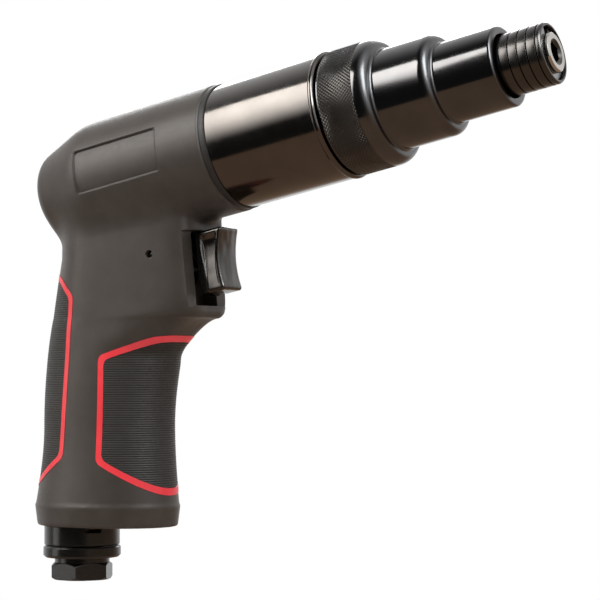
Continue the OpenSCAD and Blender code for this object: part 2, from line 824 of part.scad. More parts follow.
module sleeve_profile() {
    front_round = 1.2;
    knurl_end = cavity_end - 0.4;
    turned(concat(
        [[sleeve_x, sleeve_bore_r], [sleeve_x, knurl_r - 0.9], [knurl_x, knurl_r - 0.9], [knurl_x, knurl_r],
         [knurl_end, knurl_r]],
        quarter([knurl_end, knurl_r], [step_one_x - 1.2, step_one_r + 1.2], 1),
        quarter([step_one_x - 1.2, step_one_r + 1.2], [step_one_x, step_one_r], 0),
        quarter([step_two_x - shoulder_round - 1, step_one_r], [step_two_x - 1, step_two_r + 1], 1),
        quarter([step_two_x - 1, step_two_r + 1], [step_two_x, step_two_r], 0),
        quarter([sleeve_end - front_round, step_two_r], [sleeve_end, step_two_r - front_round], 1),
        [[sleeve_end, nose_bore_r], [step_two_x - nose_wall, nose_bore_r], [step_two_x - nose_wall, ring_room_r],
         [web_end, ring_room_r], [web_end, snout_r + run_gap], [cavity_end, snout_r + run_gap],
         [cavity_end, sleeve_bore_r]]
    ));
}

module adjusting_sleeve() {
    color("#2b2a2b") difference() {
        sleeve_profile();
        intersection() {
            along(sleeve_x - 1) cylinder(h = cavity_end - sleeve_x + 1, r = nut_key_r + side_gap);
            for (i = [0:1])
                along(sleeve_x - 2) rotate([0, 0, 90 * i])
                    translate([-knurl_r, -nut_key_w / 2 - 0.15, 0])
                        cube([2 * knurl_r, nut_key_w + 0.3, cavity_end - sleeve_x + 2]);
        }
    }
}

module sleeve_snap_ring() {
    color("dimgray") difference() {
        ring(web_end + 0.35, 1.1, ring_room_r - 0.4, snout_r - 0.75);
        along(web_end) translate([0, -2.5, -1]) cube([20, 5, 5]);
    }
}

// Gears

function involute_deg(r, base_r) = let (c = acos(min(1, base_r / r))) tan(c) * 180 / PI - c;

// Half angle of a tooth at radius r; gap thins it, a negative gap widens it.
function tooth_half(teeth, r, gap) =
    let (
        pitch_r = gear_module * teeth / 2,
        base_r = pitch_r * cos(pressure_angle)
    )
    90 / teeth - gap / pitch_r * 180 / PI + involute_deg(pitch_r, base_r) - involute_deg(max(r, base_r), base_r);

// Closed outline of a gear between a low and a high radius.
function gear_outline(teeth, low, high, gap, n = 4) = [
    for (k = [0:teeth - 1])
        let (mid = 360 * k / teeth)
        each concat(
            [for (i = [0:n]) let (r = low + (high - low) * i / n, a = mid - tooth_half(teeth, r, gap))
                [r * cos(a), r * sin(a)]],
            [for (i = [n:-1:0]) let (r = low + (high - low) * i / n, a = mid + tooth_half(teeth, r, gap))
                [r * cos(a), r * sin(a)]]
        )
];

module spur(teeth, len) {
    pitch_r = gear_module * teeth / 2;
    linear_extrude(height = len)
        polygon(gear_outline(teeth, pitch_r - dedendum, pitch_r + addendum, flank_gap));
}

// Ring gear with a tooth, not a gap, at angle 0.
module ring_gear(x, len) {
    pitch_r = gear_module * ring_teeth / 2;
    difference() {
        along(x) cylinder(h = len, r = ring_outer_r);
        along(x - 1) rotate([0, 0, 180 / ring_teeth]) linear_extrude(height = len + 2)
            polygon(gear_outline(ring_teeth, pitch_r - addendum, pitch_r + dedendum, -flank_gap));
    }
}

module fixed_ring_gear() {
    color("slategray") ring_gear(first_planet_x - side_gap, second_planet_x - first_planet_x - side_gap);
}

module clutch_ring_gear() {
    x = second_planet_x - side_gap;
    color("slategray") difference() {
        ring_gear(x, clutch_gear_end - x);
        for (i = [0:clutch_pins_n - 1])
            along(clutch_gear_end - clutch_lug) rotate([0, 0, 360 * i / clutch_pins_n])
                translate([clutch_pin_path_r, 0, 0]) cylinder(h = clutch_lug + 1, r = clutch_pin_r + 0.6);
    }
}

module drive_pinion() {
    color("lightsteelblue") difference() {
        along(0) spur(sun_teeth, first_carrier_x - side_gap);
        along(-1) cylinder(h = first_carrier_x + 1, r = pinion_bore_r);
    }
}

module planet(x, i) {
    color("lightgray") along(x) rotate([0, 0, 120 * i]) translate([planet_path_r, 0, 0])
        difference() {
            rotate([0, 0, 180 / planet_teeth]) spur(planet_teeth, planet_len);
            translate([0, 0, -1]) cylinder(h = planet_len + 2, r = planet_pin_r + run_gap);
        }
}

module planet_pins(x, len) {
    color("silver") for (i = [0:2])
        along(x) rotate([0, 0, 120 * i]) translate([planet_path_r, 0, 0]) cylinder(h = len, r = planet_pin_r);
}

module pin_holes(x, len) {
    for (i = [0:2])
        along(x) rotate([0, 0, 120 * i]) translate([planet_path_r, 0, 0])
            cylinder(h = len, r = planet_pin_r + 0.01);
}

module first_planet_a() { planet(first_planet_x, 0); }
module first_planet_b() { planet(first_planet_x, 1); }
module first_planet_c() { planet(first_planet_x, 2); }
module second_planet_a() { planet(second_planet_x, 0); }
module second_planet_b() { planet(second_planet_x, 1); }
module second_planet_c() { planet(second_planet_x, 2); }

module first_planet_pins() {
    planet_pins(first_planet_x, planet_len + side_gap + first_carrier_w);
}

module second_planet_pins() {
    planet_pins(second_planet_x, planet_len + side_gap + second_carrier_w);
}

module first_carrier() {
    color("lightsteelblue") difference() {
        union() {
            along(first_carrier_x) cylinder(h = first_carrier_w, r = carrier_r);
            along(first_carrier_x) spur(sun_teeth, first_carrier_w + planet_len + side_gap);
        }
        pin_holes(first_carrier_x - 1, first_carrier_w + 2);
    }
}

spindle_nose_r = spindle_r - 0.5;
spindle_nose = 12;

module spindle() {
    color("lightsteelblue") difference() {
        turned([
            [second_carrier_x, 0], [second_carrier_x, carrier_r],
            [second_carrier_x + second_carrier_w, carrier_r],
            [second_carrier_x + second_carrier_w, spindle_r + 1.2], [wall_x + 0.5, spindle_r + 1.2],
            [wall_x + 0.5, spindle_r], [snout_end + side_gap, spindle_r],
            [snout_end + side_gap, spindle_nose_r], [snout_end + side_gap + spindle_nose, spindle_nose_r],
            [snout_end + side_gap + spindle_nose, 0]
        ]);
        pin_holes(second_carrier_x - 1, second_carrier_w + 2);
    }
}

module spindle_bearing() {
    color("silver") ring(wall_x + 0.5, spindle_bearing_w, spindle_bearing_r, spindle_r + run_gap);
}

module spindle_bush() {
    color("#a8803c") ring(bush_seat_x, spindle_bush_len, bush_seat_r - 0.01, spindle_r + run_gap);
}

// Chuck

module socket(len) {
    cylinder(h = len, r = socket_hex / sqrt(3), $fn = 6);
}

// Turned part on the drive axis from [x, radius] points measured from the mouth of the socket.
module turned_from_mouth(points) {
    rotate([0, 90, 0]) rotate_extrude() polygon([for (p = points) [p[1], p[0]]]);
}

module bit_holder() {
    back_x = front_x + snout_end + side_gap;
    rim_r = holder_r - 0.5;
    nose_hole_r = spindle_nose_r + 0.01;
    holder_wall = 3;
    color("#b9b4aa") difference() {
        turned_from_mouth([
            [back_x, nose_hole_r], [back_x, nose_hole_r + holder_wall],
            [back_x + spindle_nose + holder_wall, nose_hole_r + holder_wall],
            [back_x + spindle_nose + holder_wall, shoulder_r], [shoulder_x, shoulder_r], [shoulder_x, holder_r],
            [clip_x - 0.05, holder_r], [clip_x - 0.05, holder_r - 1], [clip_x + clip_w + 0.05, holder_r - 1],
            [clip_x + clip_w + 0.05, rim_r], [-0.8, rim_r], [-0.3, rim_r - 0.2], [0, rim_r - 0.6],
            [0, 0], [back_x + spindle_nose + 0.05, 0], [back_x + spindle_nose + 0.05, nose_hole_r]
        ]);
        translate([-socket_depth, 0, 0]) rotate([0, 90, 0]) socket(socket_depth + 1);
        turned_from_mouth([[-0.9, 0], [-0.9, socket_hex / sqrt(3) - 0.3], [0.1, socket_hex / sqrt(3) + 0.9],
            [0.1, 0]]);
        translate([ball_x, 0, ball_up - 2]) cylinder(h = 1.5, r1 = ball_r - 0.4, r2 = ball_r + run_gap);
        translate([ball_x, 0, ball_up - 0.5]) cylinder(h = 20, r = ball_r + run_gap);
    }
}

ball_up = holder_r - ball_r;

module retaining_ball() {
    color("silver") translate([ball_x, 0, ball_up]) sphere(r = ball_r);
}

module chuck_clip() {
    color("silver") difference() {
        turned_from_mouth([
            [clip_x, holder_r - 0.95], [clip_x, holder_r + 1.4], [clip_x + clip_w, holder_r + 1.4],
            [clip_x + clip_w, holder_r - 0.95]
        ]);
        translate([clip_x - 1, -1.6, 0]) cube([4, 3.2, 20]);
    }
}

groove_w = 0.4;
groove_depth = 0.4;
groove_pitch = 2.75;

module chuck_sleeve() {
    grooves = [for (i = [0:4]) neck_end + groove_pitch * i];
    color("#2b2a29") turned_from_mouth(concat(
        [[tail_x, pocket_r], [tail_x, chuck_r - 0.7], [neck_end - groove_w, chuck_r - 0.7]],
        [for (g = grooves) each [[g - groove_w, chuck_r - groove_depth - 0.3], [g, chuck_r - groove_depth - 0.3],
            [g, chuck_r], [min(g + groove_pitch - groove_w, chuck_end - 0.7), chuck_r]]],
        [[chuck_end - 0.7, chuck_r], [chuck_end, chuck_r - 0.5], [chuck_end, chuck_r - 1.2],
         [chuck_end - recess_len, chuck_r - 1.2], [chuck_end - recess_len, chuck_bore_r],
         [cone_end, chuck_bore_r], [cone_end, chuck_bore_r + ball_slope * (cone_end - cone_x)],
         [cone_x, chuck_bore_r], [pocket_end, chuck_bore_r], [pocket_end, pocket_r]]
    ));
}

module chuck_spring() {
    color("gray") translate([shoulder_x, 0, 0]) rotate([0, 90, 0])
        coil(holder_r + chuck_spring_gap + chuck_wire_r, chuck_wire_r, pocket_end - shoulder_x, 3);
}

// Air motor

module rotor() {
    slot_in = rotor_r - vane_depth;
    color("lightgray") difference() {
        turned([
            [rear_plate_x + 0.5, 0], [rear_plate_x + 0.5, shaft_r], [cylinder_x + 0.2, shaft_r],
            [cylinder_x + 0.2, rotor_r], [front_plate_x - 0.2, rotor_r], [front_plate_x - 0.2, shaft_r],
            [plate_x + 0.5, shaft_r], [plate_x + 0.5, pinion_bore_r - 0.01],
            [first_carrier_x - side_gap, pinion_bore_r - 0.01], [first_carrier_x - side_gap, 0]
        ]);
        for (i = [0:4])
            along(cylinder_x - 0.5) rotate([0, 0, 72 * i]) translate([slot_in, -vane_w / 2 - 0.03, 0])
                cube([rotor_r, vane_w + 0.06, motor_len + 1]);
    }
}

module rotor_vanes() {
    color("#6a4a2c") for (i = [0:4])
        along(cylinder_x + 0.2) rotate([0, 0, 72 * i]) translate([rotor_r - vane_depth, -vane_w / 2, 0])
            cube([vane_depth - 0.2, vane_w, motor_len - 0.4]);
}

bore_offset = rotor_inset - 0.3;

module motor_cylinder() {
    color("gray") difference() {
        along(cylinder_x) cylinder(h = motor_len, r = motor_bore_r - fit_gap);
        along(cylinder_x - 1) translate([bore_offset, 0, 0]) cylinder(h = motor_len + 2, r = cylinder_bore_r);
        translate([front_x + window_x, 0, -motor_bore_r - 1]) cylinder(h = motor_bore_r - rotor_r, r = 2.2);
        for (side = [-1, 1])
            translate([front_x + cylinder_x + 7, side * exhaust_y, -motor_bore_r])
                cylinder(h = motor_bore_r - 6, r = exhaust_r);
    }
}

module rear_end_plate() {
    color("darkgray") difference() {
        along(rear_plate_x) cylinder(h = rear_plate_w, r = motor_bore_r - fit_gap);
        along(rear_plate_x - 1) cylinder(h = rotor_bearing_w + 1, r = rotor_bearing_r + 0.01);
        along(rear_plate_x - 1) cylinder(h = rear_plate_w + 2, r = shaft_r + 0.3);
    }
}

module rear_bearing() {
    color("silver") ring(rear_plate_x, rotor_bearing_w, rotor_bearing_r, shaft_r + run_gap);
}

module front_end_plate() {
    color("darkgray") difference() {
        along(front_plate_x) cylinder(h = front_plate_w, r = motor_bore_r - fit_gap);
        along(plate_x - rotor_bearing_w) cylinder(h = rotor_bearing_w + 1, r = rotor_bearing_r + 0.01);
        along(front_plate_x - 1) cylinder(h = front_plate_w + 2, r = shaft_r + 0.3);
    }
}

module front_bearing() {
    color("silver") ring(plate_x - rotor_bearing_w, rotor_bearing_w, rotor_bearing_r, shaft_r + run_gap);
}

// Trigger and valve

// Side outline of the trigger with a hollow front face, in [x, z] of its top front corner.
function trigger_outline(n = 8) = concat(
    [[-trigger_depth, 0], [-trigger_depth, -trigger_h], [-trigger_lean, -trigger_h]],
    [for (i = [1:n - 1])
        let (u = i / n)
        [-trigger_lean * (1 - u) - trigger_hollow * 4 * u * (1 - u), -trigger_h * (1 - u)]],
    [[0, 0]]
);

module trigger() {
    edge = 1.2;
    z_top = -valve_drop - trigger_drop + trigger_h / 2;
    color("#8f8a86") difference() {
        intersection() {
            translate([front_x - trigger_front, 0, z_top]) rotate([90, 0, 0])
                linear_extrude(height = trigger_w, center = true) polygon(trigger_outline());
            translate([front_x + trigger_back_x, 0, z_top - trigger_h - 1])
                linear_extrude(height = trigger_h + 2) polygon([
                    [0, -trigger_w / 2], [trigger_depth - edge - 1, -trigger_w / 2],
                    [trigger_depth + 0.1, -trigger_w / 2 + edge], [trigger_depth + 0.1, trigger_w / 2 - edge],
                    [trigger_depth - edge - 1, trigger_w / 2], [0, trigger_w / 2]
                ]);
        }
        on_valve(trigger_back_x - 1) cylinder(h = 5, r = stem_r + 0.01);
    }
}

module trigger_stem() {
    stem_x = valve_x + fit_gap;
    color("silver") on_valve(stem_x) cylinder(h = trigger_back_x + 4 - stem_x, r = stem_r);
}

module valve_bush() {
    seat_r = stem_r + 1.6;
    color("#a8803c") difference() {
        on_valve(bush_end) cylinder(h = bush_len, r = bush_r);
        on_valve(bush_end - 1) cylinder(h = bush_len + 2, r = stem_r + run_gap);
        on_valve(bush_end - 1) cylinder(h = 9, r = seat_r);
        translate([front_x + window_x, 0, -valve_drop]) cylinder(h = 20, r = 2.2);
        translate([front_x + bush_x - pin_back, 0, pin_up - valve_drop]) rotate([90, 0, 0])
            cylinder(h = 80, r = pin_r + 0.02, center = true);
    }
}

module bush_pin() {
    color("#1c1b1a") translate([front_x + bush_x - pin_back, 0, pin_up - valve_drop]) rotate([90, 0, 0])
        cylinder(h = 2 * pin_half, r = pin_r, center = true);
}

module valve_seal() {
    color("#191817") difference() {
        on_valve(valve_x) cylinder(h = valve_seal_w, r = valve_r);
        on_valve(valve_x - 1) cylinder(h = valve_seal_w + 2, r = stem_r + 0.3);
    }
}

module throttle_valve() {
    pilot = 4;
    color("#a8803c") union() {
        on_valve(valve_back) cylinder(h = valve_w, r = valve_r);
        on_valve(valve_back - pilot) cylinder(h = pilot + 1, r = valve_r - 2.2);
    }
}

module valve_spring() {
    color("gray") on_valve(chamber_end) coil(valve_r - 0.7, valve_wire_r, valve_back - chamber_end, 7, 14);
}

// Air inlet

module inlet_bushing() {
    top_s = handle_len - bushing_len;
    groove_s = deflector_s + deflector_h - 2;
    color("#24221f") difference() {
        union() {
            inlet_turned([
                [top_s, 0], [top_s, bushing_r], [handle_len, bushing_r], [handle_len, post_r], [groove_s, post_r],
                [groove_s, post_r - 0.9], [groove_s + 1, post_r - 0.9], [groove_s + 1, post_r],
                [flange_s, post_r], [flange_s, flange_r - 0.4], [flange_s + 0.4, flange_r],
                [neck_s - 0.8, flange_r], [neck_s, flange_r - 0.8], [neck_s, neck_r], [hex_s + 1, neck_r],
                [hex_s + 1, 0]
            ]);
            intersection() {
                on_inlet(inlet_s) rotate([0, 0, -7]) cylinder(h = hex_len, r = inlet_hex / sqrt(3), $fn = 6);
                inlet_turned([
                    [hex_s, 0], [hex_s, inlet_hex / 2], [hex_s + 1.1, inlet_hex / sqrt(3) + 0.2],
                    [inlet_s - 1, inlet_hex / sqrt(3) + 0.2], [inlet_s, inlet_hex / 2 + 0.3], [inlet_s, 0]
                ]);
            }
        }
        on_inlet(inlet_s + 1) cylinder(h = inlet_len + 1, r = inlet_r);
        on_inlet(inlet_s - inlet_len + 1) cylinder(h = 1 + screen_depth + screen_w, r = screen_seat_r);
        on_inlet(inlet_s + 1) cylinder(h = inlet_s - top_s + 3, r = bushing_r - 2);
    }
}

module inlet_screen() {
    color("#b0964e") difference() {
        on_inlet(inlet_s - inlet_len - screen_depth) cylinder(h = screen_w, r = screen_seat_r - fit_gap);
        for (i = [0:5])
            on_inlet(inlet_s) rotate([0, 0, 60 * i]) translate([2.4, 0, 0]) cylinder(h = inlet_len + 5, r = 0.8);
        on_inlet(inlet_s) cylinder(h = inlet_len + 5, r = 0.8);
    }
}

module inlet_seal() {
    seal_s = deflector_s + deflector_h - 1.5;
    color("#191817") on_inlet(seal_s) rotate_extrude() translate([post_r - 0.46, 0]) circle(r = 0.42);
}

module exhaust_deflector() {
    floor_w = 3;
    slot_w = 6;
    slot_h = 1.4;
    end_s = deflector_s + deflector_h;
    color("#24221f") difference() {
        inlet_turned([
            [deflector_s, muffler_r], [deflector_s, deflector_r], [end_s - 0.4, deflector_r],
            [end_s, deflector_r - 0.4], [end_s, deflector_bore_r], [end_s - floor_w, deflector_bore_r],
            [end_s - floor_w, muffler_r]
        ]);
        for (i = [0:2])
            on_inlet(deflector_s + 0.7 + slot_h) rotate([0, 0, -38 + 120 * i])
                translate([deflector_r - 4, -slot_w / 2, 0]) cube([8, slot_w, slot_h]);
    }
}

module muffler() {
    color("#8a8378") inlet_turned([
        [handle_len - muffler_h, bushing_r + 0.1], [handle_len - muffler_h, muffler_r],
        [handle_len - side_gap, muffler_r], [handle_len - side_gap, bushing_r + 0.1]
    ]);
}

pistol_housing();
front_grip_pad();
rear_grip_pad();
front_grip_trim();
rear_grip_trim();
case_seal();
gear_case();
adjusting_sleeve();
sleeve_snap_ring();
adjusting_nut();
clutch_spring();
clutch_washer();
clutch_pins();
clutch_ring_gear();
fixed_ring_gear();
drive_pinion();
first_carrier();
first_planet_pins();
first_planet_a();
first_planet_b();
first_planet_c();
spindle();
second_planet_pins();
second_planet_a();
second_planet_b();
second_planet_c();
spindle_bearing();
spindle_bush();
bit_holder();
retaining_ball();
chuck_sleeve();
chuck_spring();
chuck_clip();
rotor();
rotor_vanes();
motor_cylinder();
rear_end_plate();
rear_bearing();
front_end_plate();
front_bearing();
trigger();
trigger_stem();
valve_bush();
bush_pin();
throttle_valve();
valve_seal();
valve_spring();
inlet_bushing();
inlet_screen();
inlet_seal();
exhaust_deflector();
muffler();
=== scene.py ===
import json
import math

import bpy
import numpy as np
from mathutils import Matrix, Vector

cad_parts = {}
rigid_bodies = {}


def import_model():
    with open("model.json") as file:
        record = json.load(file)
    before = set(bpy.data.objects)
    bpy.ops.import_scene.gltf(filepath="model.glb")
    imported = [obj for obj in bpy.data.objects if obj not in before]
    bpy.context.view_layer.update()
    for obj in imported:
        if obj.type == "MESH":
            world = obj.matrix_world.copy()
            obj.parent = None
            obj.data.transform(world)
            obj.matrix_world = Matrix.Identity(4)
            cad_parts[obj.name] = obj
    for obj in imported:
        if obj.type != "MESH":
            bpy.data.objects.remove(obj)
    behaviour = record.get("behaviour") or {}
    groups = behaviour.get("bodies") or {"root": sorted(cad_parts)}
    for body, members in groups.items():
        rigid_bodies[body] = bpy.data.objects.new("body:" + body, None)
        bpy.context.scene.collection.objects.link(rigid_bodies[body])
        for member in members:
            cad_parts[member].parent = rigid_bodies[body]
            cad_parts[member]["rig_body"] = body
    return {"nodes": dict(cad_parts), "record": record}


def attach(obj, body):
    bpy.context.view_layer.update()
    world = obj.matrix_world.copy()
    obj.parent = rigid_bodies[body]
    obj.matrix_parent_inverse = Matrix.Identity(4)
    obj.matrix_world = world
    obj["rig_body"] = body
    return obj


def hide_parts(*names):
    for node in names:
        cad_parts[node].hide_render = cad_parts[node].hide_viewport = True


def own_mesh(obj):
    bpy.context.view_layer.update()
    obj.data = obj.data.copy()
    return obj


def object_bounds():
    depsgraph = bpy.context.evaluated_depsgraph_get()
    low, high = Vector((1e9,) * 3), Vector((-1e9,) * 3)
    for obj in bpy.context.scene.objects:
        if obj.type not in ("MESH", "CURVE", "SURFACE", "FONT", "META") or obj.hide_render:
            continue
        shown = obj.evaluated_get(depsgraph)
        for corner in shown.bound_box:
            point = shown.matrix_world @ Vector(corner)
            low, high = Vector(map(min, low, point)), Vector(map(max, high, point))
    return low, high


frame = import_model()
cad_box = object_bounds()

# Sizes are in millimetres. Places along the drive axis count from the back edge of the gear case; the handle
# has a frame of its own, with t from back to front and s down its length.
MM = 0.001
CASE_X = -122.5  # back edge of the gear case, from the bit socket's mouth
LEAN = math.radians(11.3)  # lean of the handle
INLET_T, NUB_T = -66.5, -46.5  # axes of the inlet and of the nub under the foot, in the handle frame

# Levels down the handle
WEB_S = 38.0
CHIN_S = 60.0
THROAT_S = 76.0
GRIP_S = 98.0
BAND_S = 125.5
FOOT_S = 134.0

# Back and front of the handle, counted from the gear case's edge, and half its width
WEB_BACK, WEB_DIP, GRIP_BACK = 72.3, 6.0, 79.8
FACE_TOP, FACE_CHIN = 14.8, 10.9  # trigger face at its top and at the chin
THROAT_FRONT, GRIP_FRONT = 26.8, 29.3
HALF_W = 18.0
FOOT_FLARE = 2.6
BAND_STEP, BAND_EDGE, BAND_TAPER = 0.4, 1.2, 0.9  # band round the foot
CHIN_ROUND, CHIN_PINCH, PINCH_RISE = 2.5, 6.0, 8.0
FRONT_TAPER = 0.17  # share by which the upper handle narrows to its front
BACK_POWER, FRONT_POWER = 2.1, 4.4  # power of the section at the back, and what it gains at the front

# Barrel of the housing
BARREL_R, BORE_R = 22.7, 19.5
SEAL_X = -2.3  # front of the barrel, where the seal starts
REAR_X, REAR_R, REAR_ROUND = -79.0, 9.5, 5.3  # rear end, its flat and its round
CONE_R, CONE_LEN, CONE_BEND = 14.8, 22.0, 4.0
FIELD_X, FIELD_LEN, FIELD_LOW, FIELD_HIGH, FIELD_R = -55.0, 34.5, -5.2, 9.6, 1.2  # bare recessed field

# Trigger, its room and its pin
VALVE_Z, VALVE_R, VALVE_X = -37.3, 7.05, -69.2
TRIGGER_H, TRIGGER_W, TRIGGER_DEPTH = 22.0, 12.8, 12.8
CAP_DEPTH = 10.1  # front part of the trigger; the rest is a narrower root
ROOT_STEP = 0.9
TRIGGER_X, TRIGGER_Z = -8.9, VALVE_Z - 0.6  # top front edge and middle of the trigger
TRIGGER_LEAN, TRIGGER_HOLLOW, TRIGGER_DISH = 2.6, 1.8, 1.7
TRIGGER_EDGE, TRIGGER_REAR_EDGE = 1.3, 0.45
ROOM_TOP, ROOM_LOW, ROOM_X = 11.0, 15.24, -29.2  # room round the trigger, from the valve axis
NOTCH_TOP_X, NOTCH_LOW_X = -21.0, -23.8
PIN_X, PIN_Z, PIN_R, PIN_HALF = -33.6, -31.9, 1.25, 15.0

# Grip panels and their trim
FRONT_TRIM_W, REAR_TRIM_W = 2.1, 1.9
PAD_PROUD, TRIM_PROUD, PAD_RIB, RIB_PITCH = 0.12, 0.16, 0.14, 0.4
SKIN_DEPTH, CORNER_R = 1.6, 2.2

# Gear case, sleeve and chuck
CASE_R, CASE_LIP_R, CASE_END = 22.0, 22.4, 43.4
SLEEVE_X, KNURL_X, KNURL_END, KNURL_R, KNURL_DEPTH = 43.9, 44.7, 58.0, 21.8, 0.36
STEP_ONE_R, STEP_ONE_X, STEP_TWO_R, STEP_TWO_X, NOSE_X = 17.4, 64.0, 13.7, 84.6, 105.3
NOSE_BORE_R = 11.0
CHUCK_X, CHUCK_R, CHUCK_NECK_R, CHUCK_END, CHUCK_BORE_R = 103.0, 10.4, 9.7, 121.5, 7.4
CHUCK_BANDS, CHUCK_BAND_X, CHUCK_PITCH, CHUCK_GROOVE = 5, 106.6, 3.3, 0.4
MOUTH_R = 4.6  # edge of the bit socket's mouth

FAR = 40.0  # half length of a cut that goes right through


# Mesh helpers; all lengths are in millimetres

def add_mesh(name, points, faces, smooth_angle=32):
    mesh = bpy.data.meshes.new(name)
    mesh.from_pydata([tuple(float(c) * MM for c in p) for p in points], [], faces)
    mesh.validate()
    mesh.update()
    mesh.polygons.foreach_set("use_smooth", [True] * len(mesh.polygons))
    mesh.set_sharp_from_angle(angle=math.radians(smooth_angle))
    obj = bpy.data.objects.new(name, mesh)
    bpy.context.scene.collection.objects.link(obj)
    return obj


def tube_faces(rings, n, closed):
    """Faces of a stack of rings of n points; a closed stack joins its last ring to its first."""
    faces = []
    for k in range(rings if closed else rings - 1):
        p, q = k * n, ((k + 1) % rings) * n
        for i in range(n):
            j = (i + 1) % n
            faces.append((p + i, q + i, q + j, p + j))
    return faces


def drive_point(x, r, a):
    return (CASE_X + x, r * math.sin(a), r * math.cos(a))


def handle_point(t, y, s):
    return (
        CASE_X + t * math.cos(LEAN) - s * math.sin(LEAN),
        y,
        -t * math.sin(LEAN) - s * math.cos(LEAN),
    )


def inlet_point(s, r, a):
    return handle_point(INLET_T + r * math.cos(a), r * math.sin(a), s)


def rounded(points, steps=4):
    """Outline from (u, v, radius) points, with each corner rounded by its radius."""
    out = []
    n = len(points)
    for i, (u, v, radius) in enumerate(points):
        b = Vector((u, v))
        if radius <= 0:
            out.append((u, v))
            continue
        a = Vector(points[i - 1][:2])
        c = Vector(points[(i + 1) % n][:2])
        cut = min(radius, (a - b).length * 0.49, (c - b).length * 0.49)
        p = b + (a - b).normalized() * cut
        q = b + (c - b).normalized() * cut
        for j in range(steps + 1):
            w = j / steps
            d = p * (1 - w) ** 2 + b * 2 * w * (1 - w) + q * w * w
            out.append((d.x, d.y))
    return out


def arc(from_point, to_point, convex, steps=10):
    """Quarter round between two (x, r) points."""
    out = []
    for i in range(steps + 1):
        a = math.pi / 2 * i / steps
        u, v = (math.sin(a), 1 - math.cos(a)) if convex else (1 - math.cos(a), math.sin(a))
        out.append((
            from_point[0] + (to_point[0] - from_point[0]) * u,
            from_point[1] + (to_point[1] - from_point[1]) * v,
        ))
    return out


def turned(name, profile, place=drive_point, n=192, smooth_angle=32):
    """Turned ring with a closed profile of (x, r) points that keeps off the axis."""
    points = [place(x, r, 2 * math.pi * i / n) for x, r in profile for i in range(n)]
    return add_mesh(name, points, tube_faces(len(profile), n, True), smooth_angle)


def turned_solid(name, profile, place=drive_point, n=96):
    """Turned solid from an open profile; its ends are closed with flat caps."""
    points = [place(x, r, 2 * math.pi * i / n) for x, r in profile for i in range(n)]
    faces = tube_faces(len(profile), n, False)
    last = (len(profile) - 1) * n
    faces.append(tuple(range(n)))
    faces.append(tuple(last + i for i in reversed(range(n))))
    return add_mesh(name, points, faces)


def prism(name, outline, place, low, high):
    """Straight prism: place(u, v, w) gives the point of outline (u, v) at depth w."""
    n = len(outline)
    points = [place(u, v, w) for w in (low, high) for u, v in outline]
    faces = [(i, (i + 1) % n, n + (i + 1) % n, n + i) for i in range(n)]
    faces.append(tuple(reversed(range(n))))
    faces.append(tuple(n + i for i in range(n)))
    return add_mesh(name, points, faces)


def outward(obj):
    """Turns all faces outward."""
    bpy.context.view_layer.objects.active = obj
    obj.select_set(True)
    bpy.ops.object.mode_set(mode="EDIT")
    bpy.ops.mesh.select_all(action="SELECT")
    bpy.ops.mesh.normals_make_consistent(inside=False)
    bpy.ops.object.mode_set(mode="OBJECT")
    obj.select_set(False)
    return obj


def apply_modifiers(obj):
    graph = bpy.context.evaluated_depsgraph_get()
    mesh = bpy.data.meshes.new_from_object(obj.evaluated_get(graph))
    obj.modifiers.clear()
    old = obj.data
    obj.data = mesh
    bpy.data.meshes.remove(old)
    return obj


def combine(obj, other, operation, smooth_angle=32):
    """Boolean of two closed meshes; the second one is used up."""
    mod = obj.modifiers.new("cut", "BOOLEAN")
    mod.operation = operation
    mod.object = other
    mod.solver = "EXACT"
    apply_modifiers(obj)
    bpy.data.objects.remove(other)
    obj.data.polygons.foreach_set("use_smooth", [True] * len(obj.data.polygons))
    obj.data.set_sharp_from_angle(angle=math.radians(smooth_angle))
    return obj


# Handle form: sections that are round behind and change from square to round in front

def clamp01(u):
    return np.clip(u, 0, 1)


def rise(u):
    return np.sin(np.pi / 2 * clamp01(u))


def swell(u):
    return 1 - np.cos(np.pi / 2 * clamp01(u))


def ease(u):
    return (1 - np.cos(np.pi * clamp01(u))) / 2


def band_at(s):
    taper = clamp01((s - BAND_S - BAND_EDGE) / (FOOT_S - BAND_S - BAND_EDGE))
    return BAND_STEP * clamp01((s - BAND_S) / BAND_EDGE) - BAND_TAPER * taper


def flare_at(s):
    return FOOT_FLARE * swell((s - GRIP_S) / (BAND_S - GRIP_S))


def chin_at(s):
    down = clamp01((s - CHIN_S) / CHIN_ROUND + 1)
    return CHIN_ROUND * (1 - np.sqrt(1 - (0.9 * down) ** 2))


def back_at(s):
    upper = WEB_BACK - WEB_DIP * swell((WEB_S - s) / WEB_S)
    middle = WEB_BACK + (GRIP_BACK - WEB_BACK) * rise((s - WEB_S) / (GRIP_S - WEB_S))
    lower = GRIP_BACK + 1.3 * flare_at(s) + band_at(s)
    return np.where(s < WEB_S, upper, np.where(s < GRIP_S, middle, lower))


def front_at(s):
    face = FACE_TOP - (FACE_TOP - FACE_CHIN) * s / CHIN_S + chin_at(s)
    chin = FACE_CHIN + chin_at(CHIN_S)
    throat = chin + (THROAT_FRONT - chin) * rise((s - CHIN_S) / (THROAT_S - CHIN_S)) ** 0.6
    middle = THROAT_FRONT + (GRIP_FRONT - THROAT_FRONT) * rise((s - THROAT_S) / (GRIP_S - THROAT_S))
    lower = GRIP_FRONT - 0.6 * flare_at(s) - band_at(s)
    below = np.where(s < GRIP_S, middle, lower)
    return np.where(s < CHIN_S, face, np.where(s < THROAT_S, throat, below))


def half_width_at(s):
    return HALF_W + 0.5 * flare_at(s) + band_at(s)


def round_off(s):
    """0 where the handle's front is square, above the chin, and 1 where it is round, below the throat."""
    return ease((s - CHIN_S + 8) / (THROAT_S - CHIN_S + 6))


